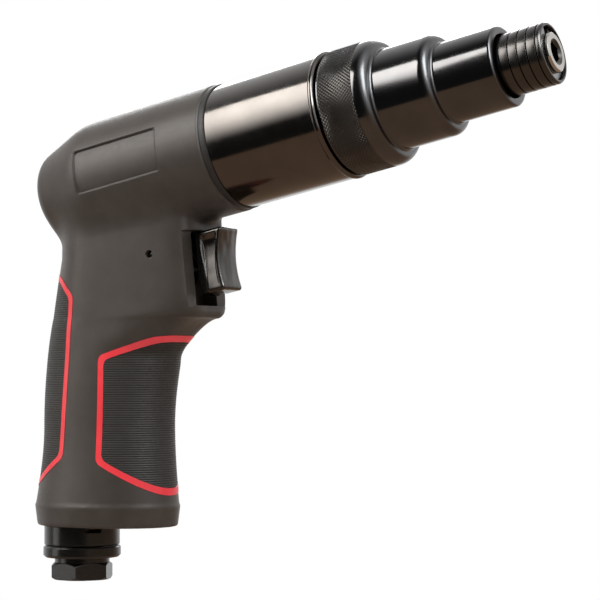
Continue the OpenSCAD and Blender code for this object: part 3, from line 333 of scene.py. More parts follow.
def squareness(u, s):
    """Power of the section's curve, which grows from the back to the front."""
    return BACK_POWER + FRONT_POWER * (1 - round_off(s)) * ease((u + 1) / 1.7)


def pinch_at(s):
    """Narrowing of the front on each side: a round corner above the chin, which ends below the throat."""
    above = 1 - np.sqrt(1 - (0.95 * clamp01((s - CHIN_S) / PINCH_RISE + 1)) ** 2)
    return CHIN_PINCH * above * (1 - rise((s - CHIN_S) / (THROAT_S - CHIN_S)))


def width_at(u, s, wide):
    """Half width at u, from -1 at the back to 1 at the front; the front half narrows."""
    front = np.where(u > 0.5, np.minimum(u, 1), clamp01(u + 0.5) ** 2 / 2)
    return wide * (1 - FRONT_TAPER * (1 - round_off(s)) * front) - pinch_at(s) * front ** 3


def section(s, skin, n):
    """Points (t, y) of the handle's section at level s, moved outward by skin."""
    back, front = -back_at(s) - skin, -front_at(s) + skin
    mid, half, wide = (back + front) / 2, (front - back) / 2, half_width_at(s) + skin
    a = 2 * np.pi * (np.arange(n) + 0.5) / n
    e = np.where(np.cos(a) > 0, 2 / squareness(1, s), 2 / BACK_POWER)
    u = np.sign(np.cos(a)) * np.abs(np.cos(a)) ** e
    power = squareness(u, s)
    v = np.sign(np.sin(a)) * np.maximum(0, 1 - np.abs(u) ** power) ** (1 / power)
    return mid + half * u, v * width_at(u, s, wide)


def handle_loft(name, low, high, skin, levels, n=160, rib=0.0):
    """Handle between two levels; with a rib depth, every second level is drawn in by it."""
    points = []
    for k, s in enumerate(np.linspace(low, high, levels)):
        t, y = section(s, skin - rib * (k % 2), n)
        points += [handle_point(t[i], y[i], s) for i in range(n)]
    faces = tube_faces(levels, n, False)
    last = (levels - 1) * n
    faces.append(tuple(reversed(range(n))))
    faces.append(tuple(last + i for i in range(n)))
    return outward(add_mesh(name, points, faces))


# Housing: barrel and handle joined with a soft fillet

def rear_profile():
    """Rear end of the barrel as (x, r) points: a round, a cone and a soft bend into the straight part."""
    slope = math.atan2(BARREL_R - CONE_R, CONE_LEN)
    size = REAR_ROUND * math.tan((math.pi / 2 + slope) / 2)
    out = [(REAR_X + size * (1 - math.cos(a)), REAR_R + size * math.sin(a))
           for a in np.linspace(0, math.pi / 2 - slope, 41)]
    corner = Vector((REAR_X + CONE_LEN, BARREL_R))
    p = corner - CONE_BEND * Vector((math.cos(slope), math.sin(slope)))
    q = corner + Vector((CONE_BEND, 0))
    for u in np.linspace(0, 1, 17):
        d = p * (1 - u) ** 2 + corner * 2 * u * (1 - u) + q * u * u
        out.append((d.x, d.y))
    return out


REAR = rear_profile()


def barrel_radius(x):
    return np.interp(x, [q[0] for q in REAR], [q[1] for q in REAR])


def housing_field(p):
    """Signed value that is 0 on the housing's skin, for an array of points in mm."""
    x, y, z = p[:, 0] - CASE_X, p[:, 1], p[:, 2]
    barrel = np.maximum(np.hypot(y, z) - barrel_radius(x), REAR_X - x)
    t = x * math.cos(LEAN) - z * math.sin(LEAN)
    s = -x * math.sin(LEAN) - z * math.cos(LEAN)
    back, front = -back_at(s), -front_at(s)
    mid, half = (back + front) / 2, (front - back) / 2
    u = (t - mid) / half
    n = squareness(u, s)
    wide = width_at(u, s, half_width_at(s))
    q = (np.abs(u) ** n + np.abs(y / wide) ** n) ** (1 / n)
    handle = (q - 1) * np.minimum(half, wide)
    foot = s - FOOT_S
    k = 1.0
    h = np.maximum(k - np.abs(handle - foot), 0) / k
    handle = np.maximum(handle, foot) + h * h * k / 4
    handle = np.maximum(handle, z + 8)
    k = 5.5 - 3.5 * ease((x + 32) / 16)
    h = np.maximum(k - np.abs(barrel - handle), 0) / k
    return np.minimum(barrel, handle) - h * h * k / 4


def settle_on_field(obj, field, rounds=6):
    """Moves the points of a mesh, in small steps, onto the surface where the field is 0."""
    mesh = obj.data
    p = np.empty(len(mesh.vertices) * 3)
    mesh.vertices.foreach_get("co", p)
    p = p.reshape(-1, 3) / MM
    d = 0.02
    for _ in range(rounds):
        f = field(p)
        g = np.stack([(field(p + d * e) - field(p - d * e)) / (2 * d) for e in np.eye(3)], axis=1)
        g2 = np.maximum((g * g).sum(1), 0.05)
        step = -(f / g2)[:, None] * g
        size = np.linalg.norm(step, axis=1)
        step *= (np.minimum(size, 0.8) / np.maximum(size, 1e-9))[:, None]
        p = p + step
    mesh.vertices.foreach_set("co", (p * MM).ravel())
    mesh.update()


def pin_point(y, r, a):
    return (CASE_X + PIN_X + r * math.cos(a), y, PIN_Z + r * math.sin(a))


def valve_point(x, r, a):
    return (CASE_X + x, r * math.sin(a), VALVE_Z + r * math.cos(a))


def nub_point(s, r, a):
    return handle_point(NUB_T + r * math.cos(a), r * math.sin(a), s)


def make_housing():
    """Barrel and handle joined and smoothed, then cut, and the small nub under the foot."""
    profile = REAR[::4] + [REAR[-1], (SEAL_X, BARREL_R), (4, BARREL_R)]
    shell = outward(turned_solid("housing_shell", profile))
    combine(shell, handle_loft("handle", 2, FOOT_S, 0, 90), "UNION")
    mod = shell.modifiers.new("skin", "REMESH")
    mod.mode = "VOXEL"
    mod.voxel_size = 0.75 * MM
    apply_modifiers(shell)
    settle_on_field(shell, housing_field)

    def cut(cutter, smooth_angle=32):
        combine(shell, outward(cutter), "DIFFERENCE", smooth_angle)

    bore = [(-60, 0.01), (-60, BORE_R), (SEAL_X, BORE_R), (SEAL_X, BARREL_R - 0.7), (SEAL_X - 0.7, BARREL_R),
            (SEAL_X - 0.6, FAR), (20, FAR), (20, 0.01)]
    cut(turned_solid("bore", bore))
    side = TRIGGER_W / 2 + 0.6
    pocket = [(-side, -ROOM_LOW), (side, -ROOM_LOW), (side, ROOM_TOP), (-side, ROOM_TOP)]
    pocket = rounded([(u, v, 1.2) for u, v in pocket])
    cut(prism("pocket", pocket, lambda u, v, w: (CASE_X + w, u, VALVE_Z + v), ROOM_X, 14))
    notch = [(NOTCH_LOW_X, -ROOM_LOW), (20, -ROOM_LOW), (20, ROOM_TOP), (NOTCH_TOP_X, ROOM_TOP)]
    cut(prism("notch", notch, lambda u, v, w: (CASE_X + u, w, VALVE_Z + v), -FAR, FAR))
    cut(turned_solid("chamber", [(VALVE_X, VALVE_R), (ROOM_X + 0.8, VALVE_R)], valve_point))
    cut(turned_solid("pin_hole", [(-FAR, PIN_R + 0.1), (FAR, PIN_R + 0.1)], pin_point, 32))
    cavity = [(117.9, 6.25), (127.3, 6.25), (127.3, 12.2), (137, 12.2)]
    cut(turned_solid("cavity", cavity, inlet_point))
    for grow, deep in ((0.55, 0.25), (0.25, 0.5), (0.0, 0.8)):
        x0, x1 = FIELD_X - grow, FIELD_X + FIELD_LEN + grow
        z0, z1 = FIELD_LOW - grow, FIELD_HIGH + grow
        field_edge = rounded([(u, v, FIELD_R) for u, v in ((x0, z0), (x1, z0), (x1, z1), (x0, z1))], 6)
        field = outward(prism("field", field_edge, lambda u, v, w: (CASE_X + u, w, v), -FAR, -2))
        core = turned_solid("core", [(-70, BARREL_R - deep), (0, BARREL_R - deep)], n=256)
        combine(field, outward(core), "DIFFERENCE")
        combine(shell, field, "DIFFERENCE", 28)
    nub = [(FOOT_S - 0.5, 2.4), (FOOT_S + 0.5, 2.4), (FOOT_S + 0.8, 2.1)]
    return shell, outward(turned_solid("foot_nub", nub, nub_point, 32))


# Grip panels and trim

FRONT_EDGE = [
    (4, THROAT_S - 12.4), (-27, THROAT_S - 9.4), (-47.2, THROAT_S - 2.8),
    (-48.3, BAND_S - 14.5), (-27, BAND_S - 2.3), (4, BAND_S + 2),
]
REAR_EDGE = [
    (-100, BAND_S + 3), (-76, BAND_S - 7.2), (-62.6, BAND_S - 16.2),
    (-58.2, WEB_S + 13.8), (-65.5, WEB_S + 7.3), (-72, WEB_S + 5.2), (-100, WEB_S),
]


def inset(points, w):
    """Outline moved to its inside by w."""
    out = []
    n = len(points)
    area = sum(points[i - 1][0] * points[i][1] - points[i][0] * points[i - 1][1] for i in range(n))
    side = 1 if area > 0 else -1
    for i in range(n):
        a, b, c = (Vector(points[k % n]) for k in (i - 1, i, i + 1))
        d, e = (b - a).normalized(), (c - b).normalized()
        p = a + side * w * Vector((-d.y, d.x))
        q = b + side * w * Vector((-e.y, e.x))
        k = ((q.x - p.x) * e.y - (q.y - p.y) * e.x) / (d.x * e.y - d.y * e.x)
        out.append(tuple(p + k * d))
    return out


def grip_skin(name, edge, hole, low, proud, rib=0.0):
    """Layer of the handle's skin inside an outline, without the part inside a second outline."""
    high = BAND_S + 1.5
    levels = int((high - low) / RIB_PITCH) if rib else 110
    layer = handle_loft(name, low, high, proud, levels, 200, rib)
    combine(layer, handle_loft("inner", low - 3, high + 3, -SKIN_DEPTH, 110, 200), "DIFFERENCE")
    for outline, operation in ((edge, "INTERSECT"), (hole, "DIFFERENCE")):
        if outline:
            corners = rounded([(u, v, CORNER_R) for u, v in outline], 6)
            cutter = prism("cutter", corners, lambda u, v, w: handle_point(u, w, v), -FAR, FAR)
            combine(layer, outward(cutter), operation)
    return layer


# Knurled band of the adjusting sleeve

def knurled_band(name, x0, x1, r, depth, teeth=104):
    """Band with a diamond knurl whose two sets of grooves lie at 45 degrees."""
    per_tooth = 8
    n = teeth * per_tooth
    pitch = 2 * math.pi * r / teeth
    rows = int((x1 - x0) / pitch * per_tooth) + 1
    points = []
    for k in range(rows):
        x = x0 + (x1 - x0) * k / (rows - 1)
        edge = min(1.0, (x - x0) / 0.35, (x1 - x) / 0.35)
        for i in range(n):
            one = abs((i / per_tooth + x / pitch) % 1 - 0.5) * 2
            two = abs((i / per_tooth - x / pitch) % 1 - 0.5) * 2
            h = min(1.0, 1.2 * min(one, two))
            points.append(drive_point(x, r - depth + depth * h * edge, 2 * math.pi * i / n))
    for x in (x1, x0):
        points += [drive_point(x, r - 1.5, 2 * math.pi * i / n) for i in range(n)]
    return add_mesh(name, points, tube_faces(rows + 2, n, True), 20)


# Materials

class Shader:
    """A principled material with a few node helpers; patterns use the part's own coordinates in metres."""

    def __init__(self, name, color, rough, metallic=0.0):
        self.material = bpy.data.materials.new(name)
        self.material.use_nodes = True
        self.tree = self.material.node_tree
        self.bsdf = self.tree.nodes["Principled BSDF"]
        self.bsdf.inputs["Base Color"].default_value = (*color, 1)
        self.bsdf.inputs["Roughness"].default_value = rough
        self.bsdf.inputs["Metallic"].default_value = metallic
        self.coords = self.tree.nodes.new("ShaderNodeTexCoord").outputs["Object"]
        self.normal = None

    def link(self, a, b):
        self.tree.links.new(a, b)

    def noise(self, scale, detail=3.0, stretch=None):
        node = self.tree.nodes.new("ShaderNodeTexNoise")
        node.inputs["Scale"].default_value = scale
        node.inputs["Detail"].default_value = detail
        source = self.coords
        if stretch:
            mapping = self.tree.nodes.new("ShaderNodeMapping")
            mapping.inputs["Scale"].default_value = stretch
            self.link(source, mapping.inputs["Vector"])
            source = mapping.outputs["Vector"]
        self.link(source, node.inputs["Vector"])
        return node.outputs["Fac"]

    def span(self, value, low, high, start=0.3, end=0.7):
        node = self.tree.nodes.new("ShaderNodeMapRange")
        node.inputs["From Min"].default_value = start
        node.inputs["From Max"].default_value = end
        node.inputs["To Min"].default_value = low
        node.inputs["To Max"].default_value = high
        self.link(value, node.inputs["Value"])
        return node.outputs["Result"]

    def rough(self, value, low, high):
        self.link(self.span(value, low, high), self.bsdf.inputs["Roughness"])

    def rough_where_facing(self, rough, start, end):
        """Roughness that grows on surfaces turned towards the tool's nose."""
        split = self.tree.nodes.new("ShaderNodeSeparateXYZ")
        self.link(self.coords.node.outputs["Normal"], split.inputs["Vector"])
        self.link(self.span(split.outputs["X"], *rough, start, end), self.bsdf.inputs["Roughness"])

    def tint(self, value, dark, light):
        node = self.tree.nodes.new("ShaderNodeMix")
        node.data_type = "RGBA"
        self.link(self.span(value, 0, 1), node.inputs["Factor"])
        node.inputs["A"].default_value = (*dark, 1)
        node.inputs["B"].default_value = (*light, 1)
        self.link(node.outputs["Result"], self.bsdf.inputs["Base Color"])

    def soft_edges(self, radius):
        node = self.tree.nodes.new("ShaderNodeBevel")
        node.samples = 6
        node.inputs["Radius"].default_value = radius * MM
        self.normal = node.outputs["Normal"]
        self.link(self.normal, self.bsdf.inputs["Normal"])

    def bump(self, height, strength, depth):
        node = self.tree.nodes.new("ShaderNodeBump")
        node.inputs["Strength"].default_value = strength
        node.inputs["Distance"].default_value = depth * MM
        self.link(height, node.inputs["Height"])
        if self.normal:
            self.link(self.normal, node.inputs["Normal"])
        self.normal = node.outputs["Normal"]
        self.link(self.normal, self.bsdf.inputs["Normal"])


def grained(name, dark, light, rough, grain, strength, edges=0.0):
    """Moulded or painted surface with a fine grain; edges is a radius that softens its corners."""
    sh = Shader(name, dark, rough[0])
    sh.tint(sh.noise(180), dark, light)
    sh.rough(sh.noise(900), *rough)
    if edges:
        sh.soft_edges(edges)
    sh.bump(sh.noise(grain, 2.0), strength, 0.08)
    return sh


def turned_metal(name, dark, light, rough, lines=6000.0, strength=0.03):
    """Metal turned about the drive axis, with faint lines round it."""
    sh = Shader(name, dark, rough[0], 1.0)
    sh.tint(sh.noise(90), dark, light)
    sh.rough(sh.noise(260), *rough)
    sh.bump(sh.noise(lines, 2.0, (1.0, 0.02, 0.02)), strength, 0.02)
    return sh


composite = grained(
    "composite", (0.0465, 0.0372, 0.0306), (0.0572, 0.0465, 0.0387), (0.38, 0.48), 2600, 0.10, edges=0.3
)
grip_rubber = Shader("grip_rubber", (0.010, 0.010, 0.009), 0.62)
grip_rubber.tint(grip_rubber.noise(240), (0.014, 0.0135, 0.012), (0.020, 0.019, 0.017))
grip_rubber.rough(grip_rubber.noise(800), 0.52, 0.64)
grip_rubber.bump(grip_rubber.noise(2600, 2.0), 0.10, 0.06)
trim_red = grained("trim_red", (0.92, 0.044, 0.058), (0.96, 0.054, 0.070), (0.36, 0.46), 2200, 0.06)
seal_rubber = grained("seal_rubber", (0.016, 0.0145, 0.013), (0.022, 0.020, 0.018), (0.42, 0.54), 2000, 0.08)
case_metal = turned_metal("case_metal", (0.116, 0.108, 0.101), (0.136, 0.127, 0.119), (0.10, 0.16))
nose_metal = turned_metal("nose_metal", (0.106, 0.106, 0.108), (0.128, 0.128, 0.130), (0.10, 0.16))
nose_metal.rough_where_facing((0.13, 0.28), 0.15, 0.55)
knurl_metal = turned_metal("knurl_metal", (0.090, 0.089, 0.086), (0.118, 0.117, 0.113), (0.20, 0.28))
oxide_metal = turned_metal("oxide_metal", (0.078, 0.075, 0.072), (0.102, 0.098, 0.094), (0.20, 0.30))
nickel = turned_metal("nickel", (0.44, 0.42, 0.39), (0.54, 0.52, 0.48), (0.14, 0.24))
bright_steel = turned_metal("bright_steel", (0.50, 0.49, 0.48), (0.60, 0.59, 0.58), (0.18, 0.30))
gear_steel = turned_metal("gear_steel", (0.30, 0.30, 0.31), (0.40, 0.40, 0.41), (0.26, 0.38))
spring_steel = turned_metal("spring_steel", (0.28, 0.28, 0.29), (0.36, 0.36, 0.37), (0.24, 0.34))
bronze = turned_metal("bronze", (0.48, 0.31, 0.12), (0.58, 0.40, 0.17), (0.26, 0.38))
motor_iron = turned_metal("motor_iron", (0.20, 0.20, 0.20), (0.28, 0.28, 0.28), (0.36, 0.50))
trigger_metal = turned_metal("trigger_metal", (0.078, 0.073, 0.069), (0.130, 0.123, 0.117), (0.18, 0.28), 2500, 0.05)
trigger_metal.bump(trigger_metal.noise(210, 1.0, (1.0, 1.0, 0.55)), 0.8, 0.45)
vane_resin = grained("vane_resin", (0.22, 0.12, 0.06), (0.28, 0.16, 0.08), (0.5, 0.6), 1200, 0.1)
inlet_black = grained(
    "inlet_black", (0.006, 0.0057, 0.0050), (0.010, 0.0095, 0.0085), (0.20, 0.26), 1500, 0.015, edges=0.35
)
felt = grained("felt", (0.34, 0.32, 0.28), (0.44, 0.42, 0.38), (0.8, 0.9), 900, 0.5)

SLOT_LOOKS = {
    "composite": composite, "grip_rubber": grip_rubber, "trim_red": trim_red, "seal_rubber": seal_rubber,
    "black_chrome": case_metal, "black_oxide": oxide_metal, "bright_steel": bright_steel, "nickel": nickel,
    "gear_steel": gear_steel, "spring_steel": spring_steel, "bronze": bronze, "motor_iron": motor_iron,
    "vane_resin": vane_resin, "trigger_metal": trigger_metal, "inlet_metal": inlet_black, "felt": felt,
}
for part in frame["record"]["subparts"]:
    node = frame["nodes"][part["node"]]
    node.data.materials.clear()
    node.data.materials.append(SLOT_LOOKS[part["material_slot"]].material)


def dress(obj, look, body, slot, *nodes):
    """Gives a piece its look, the body that it moves with and the solids that it stands for; slot is not used."""
    obj.data.materials.clear()
    obj.data.materials.append(look.material)
    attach(obj, body)
    if nodes:
        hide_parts(*nodes)
    return obj


# Pieces

housing, foot_nub = make_housing()
dress(housing, composite, "tool", "composite", "pistol_housing")
dress(foot_nub, composite, "tool", "composite")

FRONT_LEVEL, REAR_LEVEL = CHIN_S, WEB_S  # where the layers of the two grips start
front_hole, rear_hole = inset(FRONT_EDGE, FRONT_TRIM_W), inset(REAR_EDGE, REAR_TRIM_W)
front_grip = grip_skin("front_grip", front_hole, None, FRONT_LEVEL, PAD_PROUD, PAD_RIB)
rear_grip = grip_skin("rear_grip", rear_hole, None, REAR_LEVEL, PAD_PROUD, PAD_RIB)
front_trim = grip_skin("front_trim", FRONT_EDGE, front_hole, FRONT_LEVEL, TRIM_PROUD)
rear_trim = grip_skin("rear_trim", REAR_EDGE, rear_hole, REAR_LEVEL, TRIM_PROUD)
dress(front_grip, grip_rubber, "tool", "grip_rubber", "front_grip_pad")
dress(rear_grip, grip_rubber, "tool", "grip_rubber", "rear_grip_pad")
dress(front_trim, trim_red, "tool", "trim_red", "front_grip_trim")
dress(rear_trim, trim_red, "tool", "trim_red", "rear_grip_trim")

case_outside = [
    (-8, 18.45, 0), (-8, 19.45, 0), (0.0, 19.45, 0), (0.0, CASE_R, 0.35), (CASE_END - 1.8, CASE_R, 0.2),
    (CASE_END - 1.5, CASE_LIP_R, 0.3), (CASE_END - 0.6, CASE_LIP_R, 0.4), (CASE_END, CASE_R - 0.4, 0.2),
    (CASE_END, 19.6, 0), (38, 19.6, 0),
]
case_snout = [(38, 12.5, 0), (64.3, 12.5, 0), (64.3, 11.7, 0), (65.5, 11.7, 0), (65.5, 12.5, 0), (66.5, 12.5, 0.2)]
case_inside = [
    (66.5, 8.5, 0), (58, 8.5, 0), (58, 7, 0), (34, 7, 0), (34, 14.05, 0), (25.5, 14.05, 0), (25.5, 18.45, 0),
]
case_shell = turned("case_shell", rounded(case_outside + case_snout + case_inside))
dress(case_shell, case_metal, "tool", "black_chrome", "gear_case")
seal_profile = [(SEAL_X, BORE_R, 0), (SEAL_X, CASE_LIP_R, 0.5), (0, CASE_LIP_R, 0.3), (0, BORE_R, 0)]
dress(turned("seal_ring", rounded(seal_profile)), seal_rubber, "tool", "seal_rubber", "case_seal")

sleeve_back = [
    (SLEEVE_X, 19.3), (SLEEVE_X, 20.7), (SLEEVE_X + 0.2, 20.9), (SLEEVE_X + 0.6, 20.9), (KNURL_X - 0.1, 21.0),
    (KNURL_X + 0.1, 21.3), (KNURL_END - 0.1, 21.4), (KNURL_END, KNURL_R),
]
step_one = (
    arc((KNURL_END + 0.1, KNURL_R), (STEP_ONE_X - 1.2, STEP_ONE_R + 1.2), True)
    + arc((STEP_ONE_X - 1.2, STEP_ONE_R + 1.2), (STEP_ONE_X, STEP_ONE_R), False, 6)
)
step_two = (
    arc((STEP_TWO_X - 4.4, STEP_ONE_R), (STEP_TWO_X - 1, STEP_TWO_R + 1), True)
    + arc((STEP_TWO_X - 1, STEP_TWO_R + 1), (STEP_TWO_X, STEP_TWO_R), False, 6)
)
nose = arc((NOSE_X - 1.2, STEP_TWO_R), (NOSE_X, STEP_TWO_R - 1.2), True, 6)
sleeve_inside = [
    (NOSE_X, NOSE_BORE_R + 0.3), (NOSE_X - 0.2, NOSE_BORE_R), (81.6, NOSE_BORE_R), (81.6, 14.3), (STEP_ONE_X, 14.3),
    (STEP_ONE_X, 12.6), (58.5, 12.6), (58.5, 20.1), (44.2, 20.1),
]
sleeve_nose = turned("sleeve_nose", sleeve_back + step_one + step_two + nose + sleeve_inside, n=256)
dress(sleeve_nose, nose_metal, "sleeve", "black_chrome", "adjusting_sleeve")
sleeve_knurl = knurled_band("sleeve_knurl", KNURL_X, KNURL_END, KNURL_R, KNURL_DEPTH)
dress(sleeve_knurl, knurl_metal, "sleeve", "black_chrome")

chuck_outside = [(CHUCK_X, 9.0, 0), (CHUCK_X, CHUCK_NECK_R, 0.2)]
for k in range(CHUCK_BANDS):
    x = CHUCK_BAND_X + k * CHUCK_PITCH
    end = min(x + CHUCK_PITCH - CHUCK_GROOVE, CHUCK_END - 0.7)
    chuck_outside += [
        (x - CHUCK_GROOVE, CHUCK_NECK_R, 0), (x, CHUCK_NECK_R, 0), (x, CHUCK_R, 0.15), (end, CHUCK_R, 0.15),
    ]
chuck_inside = [
    (CHUCK_END, CHUCK_R - 0.5, 0.2), (CHUCK_END, 9.2, 0.1), (119.0, 9.2, 0), (119.0, CHUCK_BORE_R, 0),
    (118.3, CHUCK_BORE_R, 0), (118.3, 8.3, 0), (113.45, CHUCK_BORE_R, 0), (110.2, CHUCK_BORE_R, 0), (110.2, 9.0, 0),
]
chuck_shell = turned("chuck_shell", rounded(chuck_outside + chuck_inside))
dress(chuck_shell, oxide_metal, "chuck", "black_oxide", "chuck_sleeve")


def copy_of(name, node):
    """A piece with the same mesh as a solid, in the looks of the solid's slot."""
    solid = frame["nodes"][node]
    obj = bpy.data.objects.new(name, solid.data.copy())
    bpy.context.scene.collection.objects.link(obj)
    slot = next(part["material_slot"] for part in frame["record"]["subparts"] if part["node"] == node)
    return dress(obj, SLOT_LOOKS[slot], solid["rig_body"], slot, node)


def make_holder():
    """Bright bit holder, with the walls inside its socket given the darker oxide look as painted shade."""
    holder = copy_of("holder_end", "bit_holder")
    holder.data.materials.append(oxide_metal.material)
    for face in holder.data.polygons:
        r = math.hypot(face.center.y, face.center.z) / MM
        # Painted shade: faces inside the socket's mouth that don't face forward take the darker oxide look.
        face.material_index = int(r < MOUTH_R and face.normal.x < 0.99)


def make_spring(name, node):
    """Spring copied from its solid, with a mesh of its own."""
    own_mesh(copy_of(name, node))


make_holder()
make_spring("valve_coil", "valve_spring")
make_spring("chuck_coil", "chuck_spring")
make_spring("clutch_coil", "clutch_spring")

dome = [(PIN_HALF, 0.35), (PIN_HALF - 0.1, 0.8), (PIN_HALF - 0.4, 1.1), (PIN_HALF - 0.8, PIN_R)]
pin_profile = [(-y, r) for y, r in dome] + dome[::-1]
pin = turned_solid("cross_pin", pin_profile, pin_point, 32)
dress(outward(pin), oxide_metal, "tool", "black_oxide", "bush_pin")


def make_trigger():
    """Cap with a hollow front and dished sides, lofted from level to level, and the narrower root behind it."""
    edge, rear_edge = TRIGGER_EDGE, TRIGGER_REAR_EDGE
    x, z = CASE_X + TRIGGER_X, TRIGGER_Z + TRIGGER_H / 2
    turn = np.linspace(0, math.pi / 2, 6)
    levels = [(edge * (1 - math.cos(a)), edge * (1 - math.sin(a))) for a in turn]
    levels += [(d, 0) for d in np.linspace(edge, TRIGGER_H - edge, 34)[1:-1]]
    levels += [(TRIGGER_H - d, q) for d, q in levels[:6][::-1]]
    corner = [(math.sin(a), 1 - math.cos(a)) for a in turn]
    points = []
    for down, q in levels:
        v = 1 - down / TRIGGER_H
        front = -TRIGGER_LEAN * (1 - v) - TRIGGER_HOLLOW * 4 * v * (1 - v) - q
        back, half = -CAP_DEPTH + q, TRIGGER_W / 2 - q
        r, rear_r = max(edge - q, 0.05), max(rear_edge - q, 0.05)
        w = clamp01((v - 0.04) / 0.9)
        deep = TRIGGER_DISH * 1.2 * w * (1 - w ** 8)
        sides = []
        for t in np.linspace(0, 1, 25)[1:-1]:
            along = back + rear_r + (front - back - r - rear_r) * t
            sides.append((along, half - deep * ease(min(t, 1 - t) * 7)))
        quarter = [(front - r + r * a, half - r * b) for a, b in corner]
        rear = [(back + rear_r * (1 - a), half - rear_r * b) for a, b in corner]
        right = rear[::-1] + sides + quarter
        ring = [(u, -y) for u, y in right] + [(u, y) for u, y in right[::-1]]
        points += [(x + u, y, z - down) for u, y in ring]
    n = len(points) // len(levels)
    faces = tube_faces(len(levels), n, False)
    last = (len(levels) - 1) * n
    faces += [tuple(range(n)), tuple(last + k for k in reversed(range(n)))]
    cap = outward(add_mesh("trigger_cap", points, faces, 50))
    inside = x - CAP_DEPTH + 1
    root = [(x - TRIGGER_DEPTH, z), (x - TRIGGER_DEPTH, z - TRIGGER_H),
            (inside, z - TRIGGER_H + ROOT_STEP), (inside, z - ROOT_STEP)]
    half = TRIGGER_W / 2 - ROOT_STEP
    return cap, outward(prism("trigger_root", root, lambda u, v, w: (u, w, v), -half, half))


trigger_cap, trigger_root = make_trigger()
dress(trigger_cap, trigger_metal, "trigger", "trigger_metal", "trigger")
# The root is narrower, so it sits in real shade, and it also takes the darker oxide look instead of the trigger's
# own: painted shade on the trigger's back inside the notch.
dress(trigger_root, oxide_metal, "trigger", "trigger_metal")

# Stage, in metres: pale floor, soft lights, camera at the photograph's view

AHEAD = (-0.4742, 0.8707, 0.13)  # way the camera looks
NOSE_WAY = (0.866, 0.0, 0.5)  # before the tool's nose and above it
CENTRE = (-0.1, 0, -0.02)
FLOOR_DROP, FLOOR_REACH, FLOOR_EDGE = 0.22, 3.0, -0.70
FLOOR_WHITE = (0.28, 0.62)  # distances from the object between which the seen floor turns white
MIRROR_WHITE = (0.70, 2.20)  # distances behind the object between which the mirrored floor turns white
FLOOR_BROWN = (0.36, 0.24, 0.165)
ROOM = (0.045, 0.039, 0.033)
WHITE = (1, 1, 1)

floor_z = cad_box[0][2] - FLOOR_DROP
floor_mesh = bpy.data.meshes.new("floor")
floor_corners = [(-FLOOR_REACH, FLOOR_EDGE), (FLOOR_REACH, FLOOR_EDGE), (FLOOR_REACH, FLOOR_REACH),
                 (-FLOOR_REACH, FLOOR_REACH)]
floor_mesh.from_pydata([(x, y, floor_z) for x, y in floor_corners], [], [(0, 1, 2, 3)])
floor = bpy.data.objects.new("floor", floor_mesh)
bpy.context.scene.collection.objects.link(floor)
floor_look = Shader("floor_look", (0.8, 0.8, 0.8), 0.7)
floor_look.tint(floor_look.noise(3), (0.78, 0.775, 0.77), (0.81, 0.805, 0.80))


def new_node(tree, kind, **settings):
    node = tree.nodes.new(kind)
    for key, value in settings.items():
        setattr(node, key, value)
    return node


def smooth_ramp(tree, value, start, end, low=0.0):
    """Value that grows smoothly from low to 1 between start and end."""
    node = new_node(tree, "ShaderNodeMapRange", interpolation_type="SMOOTHSTEP")
    node.inputs["From Min"].default_value = start
    node.inputs["From Max"].default_value = end
    node.inputs["To Min"].default_value = low
    tree.links.new(value, node.inputs["Value"])
    return node.outputs["Result"]


def math_of(tree, operation, a, b):
    node = new_node(tree, "ShaderNodeMath", operation=operation)
    tree.links.new(a, node.inputs[0])
    tree.links.new(b, node.inputs[1])
    return node.outputs["Value"]


def vector_value(tree, operation, vector, other):
    """Dot product of, or distance between, a vector and a fixed one."""
    node = new_node(tree, "ShaderNodeVectorMath", operation=operation)
    node.inputs[1].default_value = other
    tree.links.new(vector, node.inputs[0])
    return node.outputs["Value"]


def mixed(tree, factor, a, b):
    node = new_node(tree, "ShaderNodeMixShader")
    tree.links.new(factor, node.inputs["Fac"])
    tree.links.new(a, node.inputs[1])
    tree.links.new(b, node.inputs[2])
    return node.outputs["Shader"]


def mirrored_rays(tree, rays):
    return math_of(tree, "MAXIMUM", rays.outputs["Is Glossy Ray"], rays.outputs["Is Transmission Ray"])


def floor_backdrop(sh):
    """Far from the object the floor is seen as white; mirrored, it is brown in front and white behind."""
    tree = sh.tree
    rays = new_node(tree, "ShaderNodeLightPath")
    away = vector_value(tree, "DISTANCE", sh.coords, (CENTRE[0], CENTRE[1], floor_z))
    behind = vector_value(tree, "DOT_PRODUCT", sh.coords, (AHEAD[0], AHEAD[1], 0.0))
    far = smooth_ramp(tree, away, *FLOOR_WHITE)
    seen = math_of(tree, "MULTIPLY", rays.outputs["Is Camera Ray"], far)

    white = new_node(tree, "ShaderNodeEmission")
    white.inputs["Color"].default_value = (*WHITE, 1)
    tone = new_node(tree, "ShaderNodeMix", data_type="RGBA")
    tree.links.new(smooth_ramp(tree, behind, *MIRROR_WHITE), tone.inputs["Factor"])
    tone.inputs["A"].default_value = (*FLOOR_BROWN, 1)
    tone.inputs["B"].default_value = (*WHITE, 1)
    glow = new_node(tree, "ShaderNodeEmission")
    tree.links.new(tone.outputs["Result"], glow.inputs["Color"])
    first = mixed(tree, seen, sh.bsdf.outputs["BSDF"], white.outputs["Emission"])
    second = mixed(tree, mirrored_rays(tree, rays), first, glow.outputs["Emission"])
    tree.links.new(second, tree.nodes["Material Output"].inputs["Surface"])


floor_backdrop(floor_look)
floor_mesh.materials.append(floor_look.material)


def area_light(name, place, size, energy, color=WHITE):
    """Rectangular light of a width and height, in watts, that faces the object."""
    data = bpy.data.lights.new(name, "AREA")
    data.shape = "RECTANGLE"
    data.size, data.size_y = size
    data.energy = energy
    data.color = color
    obj = bpy.data.objects.new(name, data)
    obj.location = place
    obj.rotation_euler = (Vector(CENTRE) - Vector(place)).to_track_quat("-Z", "Y").to_euler()
    bpy.context.scene.collection.objects.link(obj)
    return data


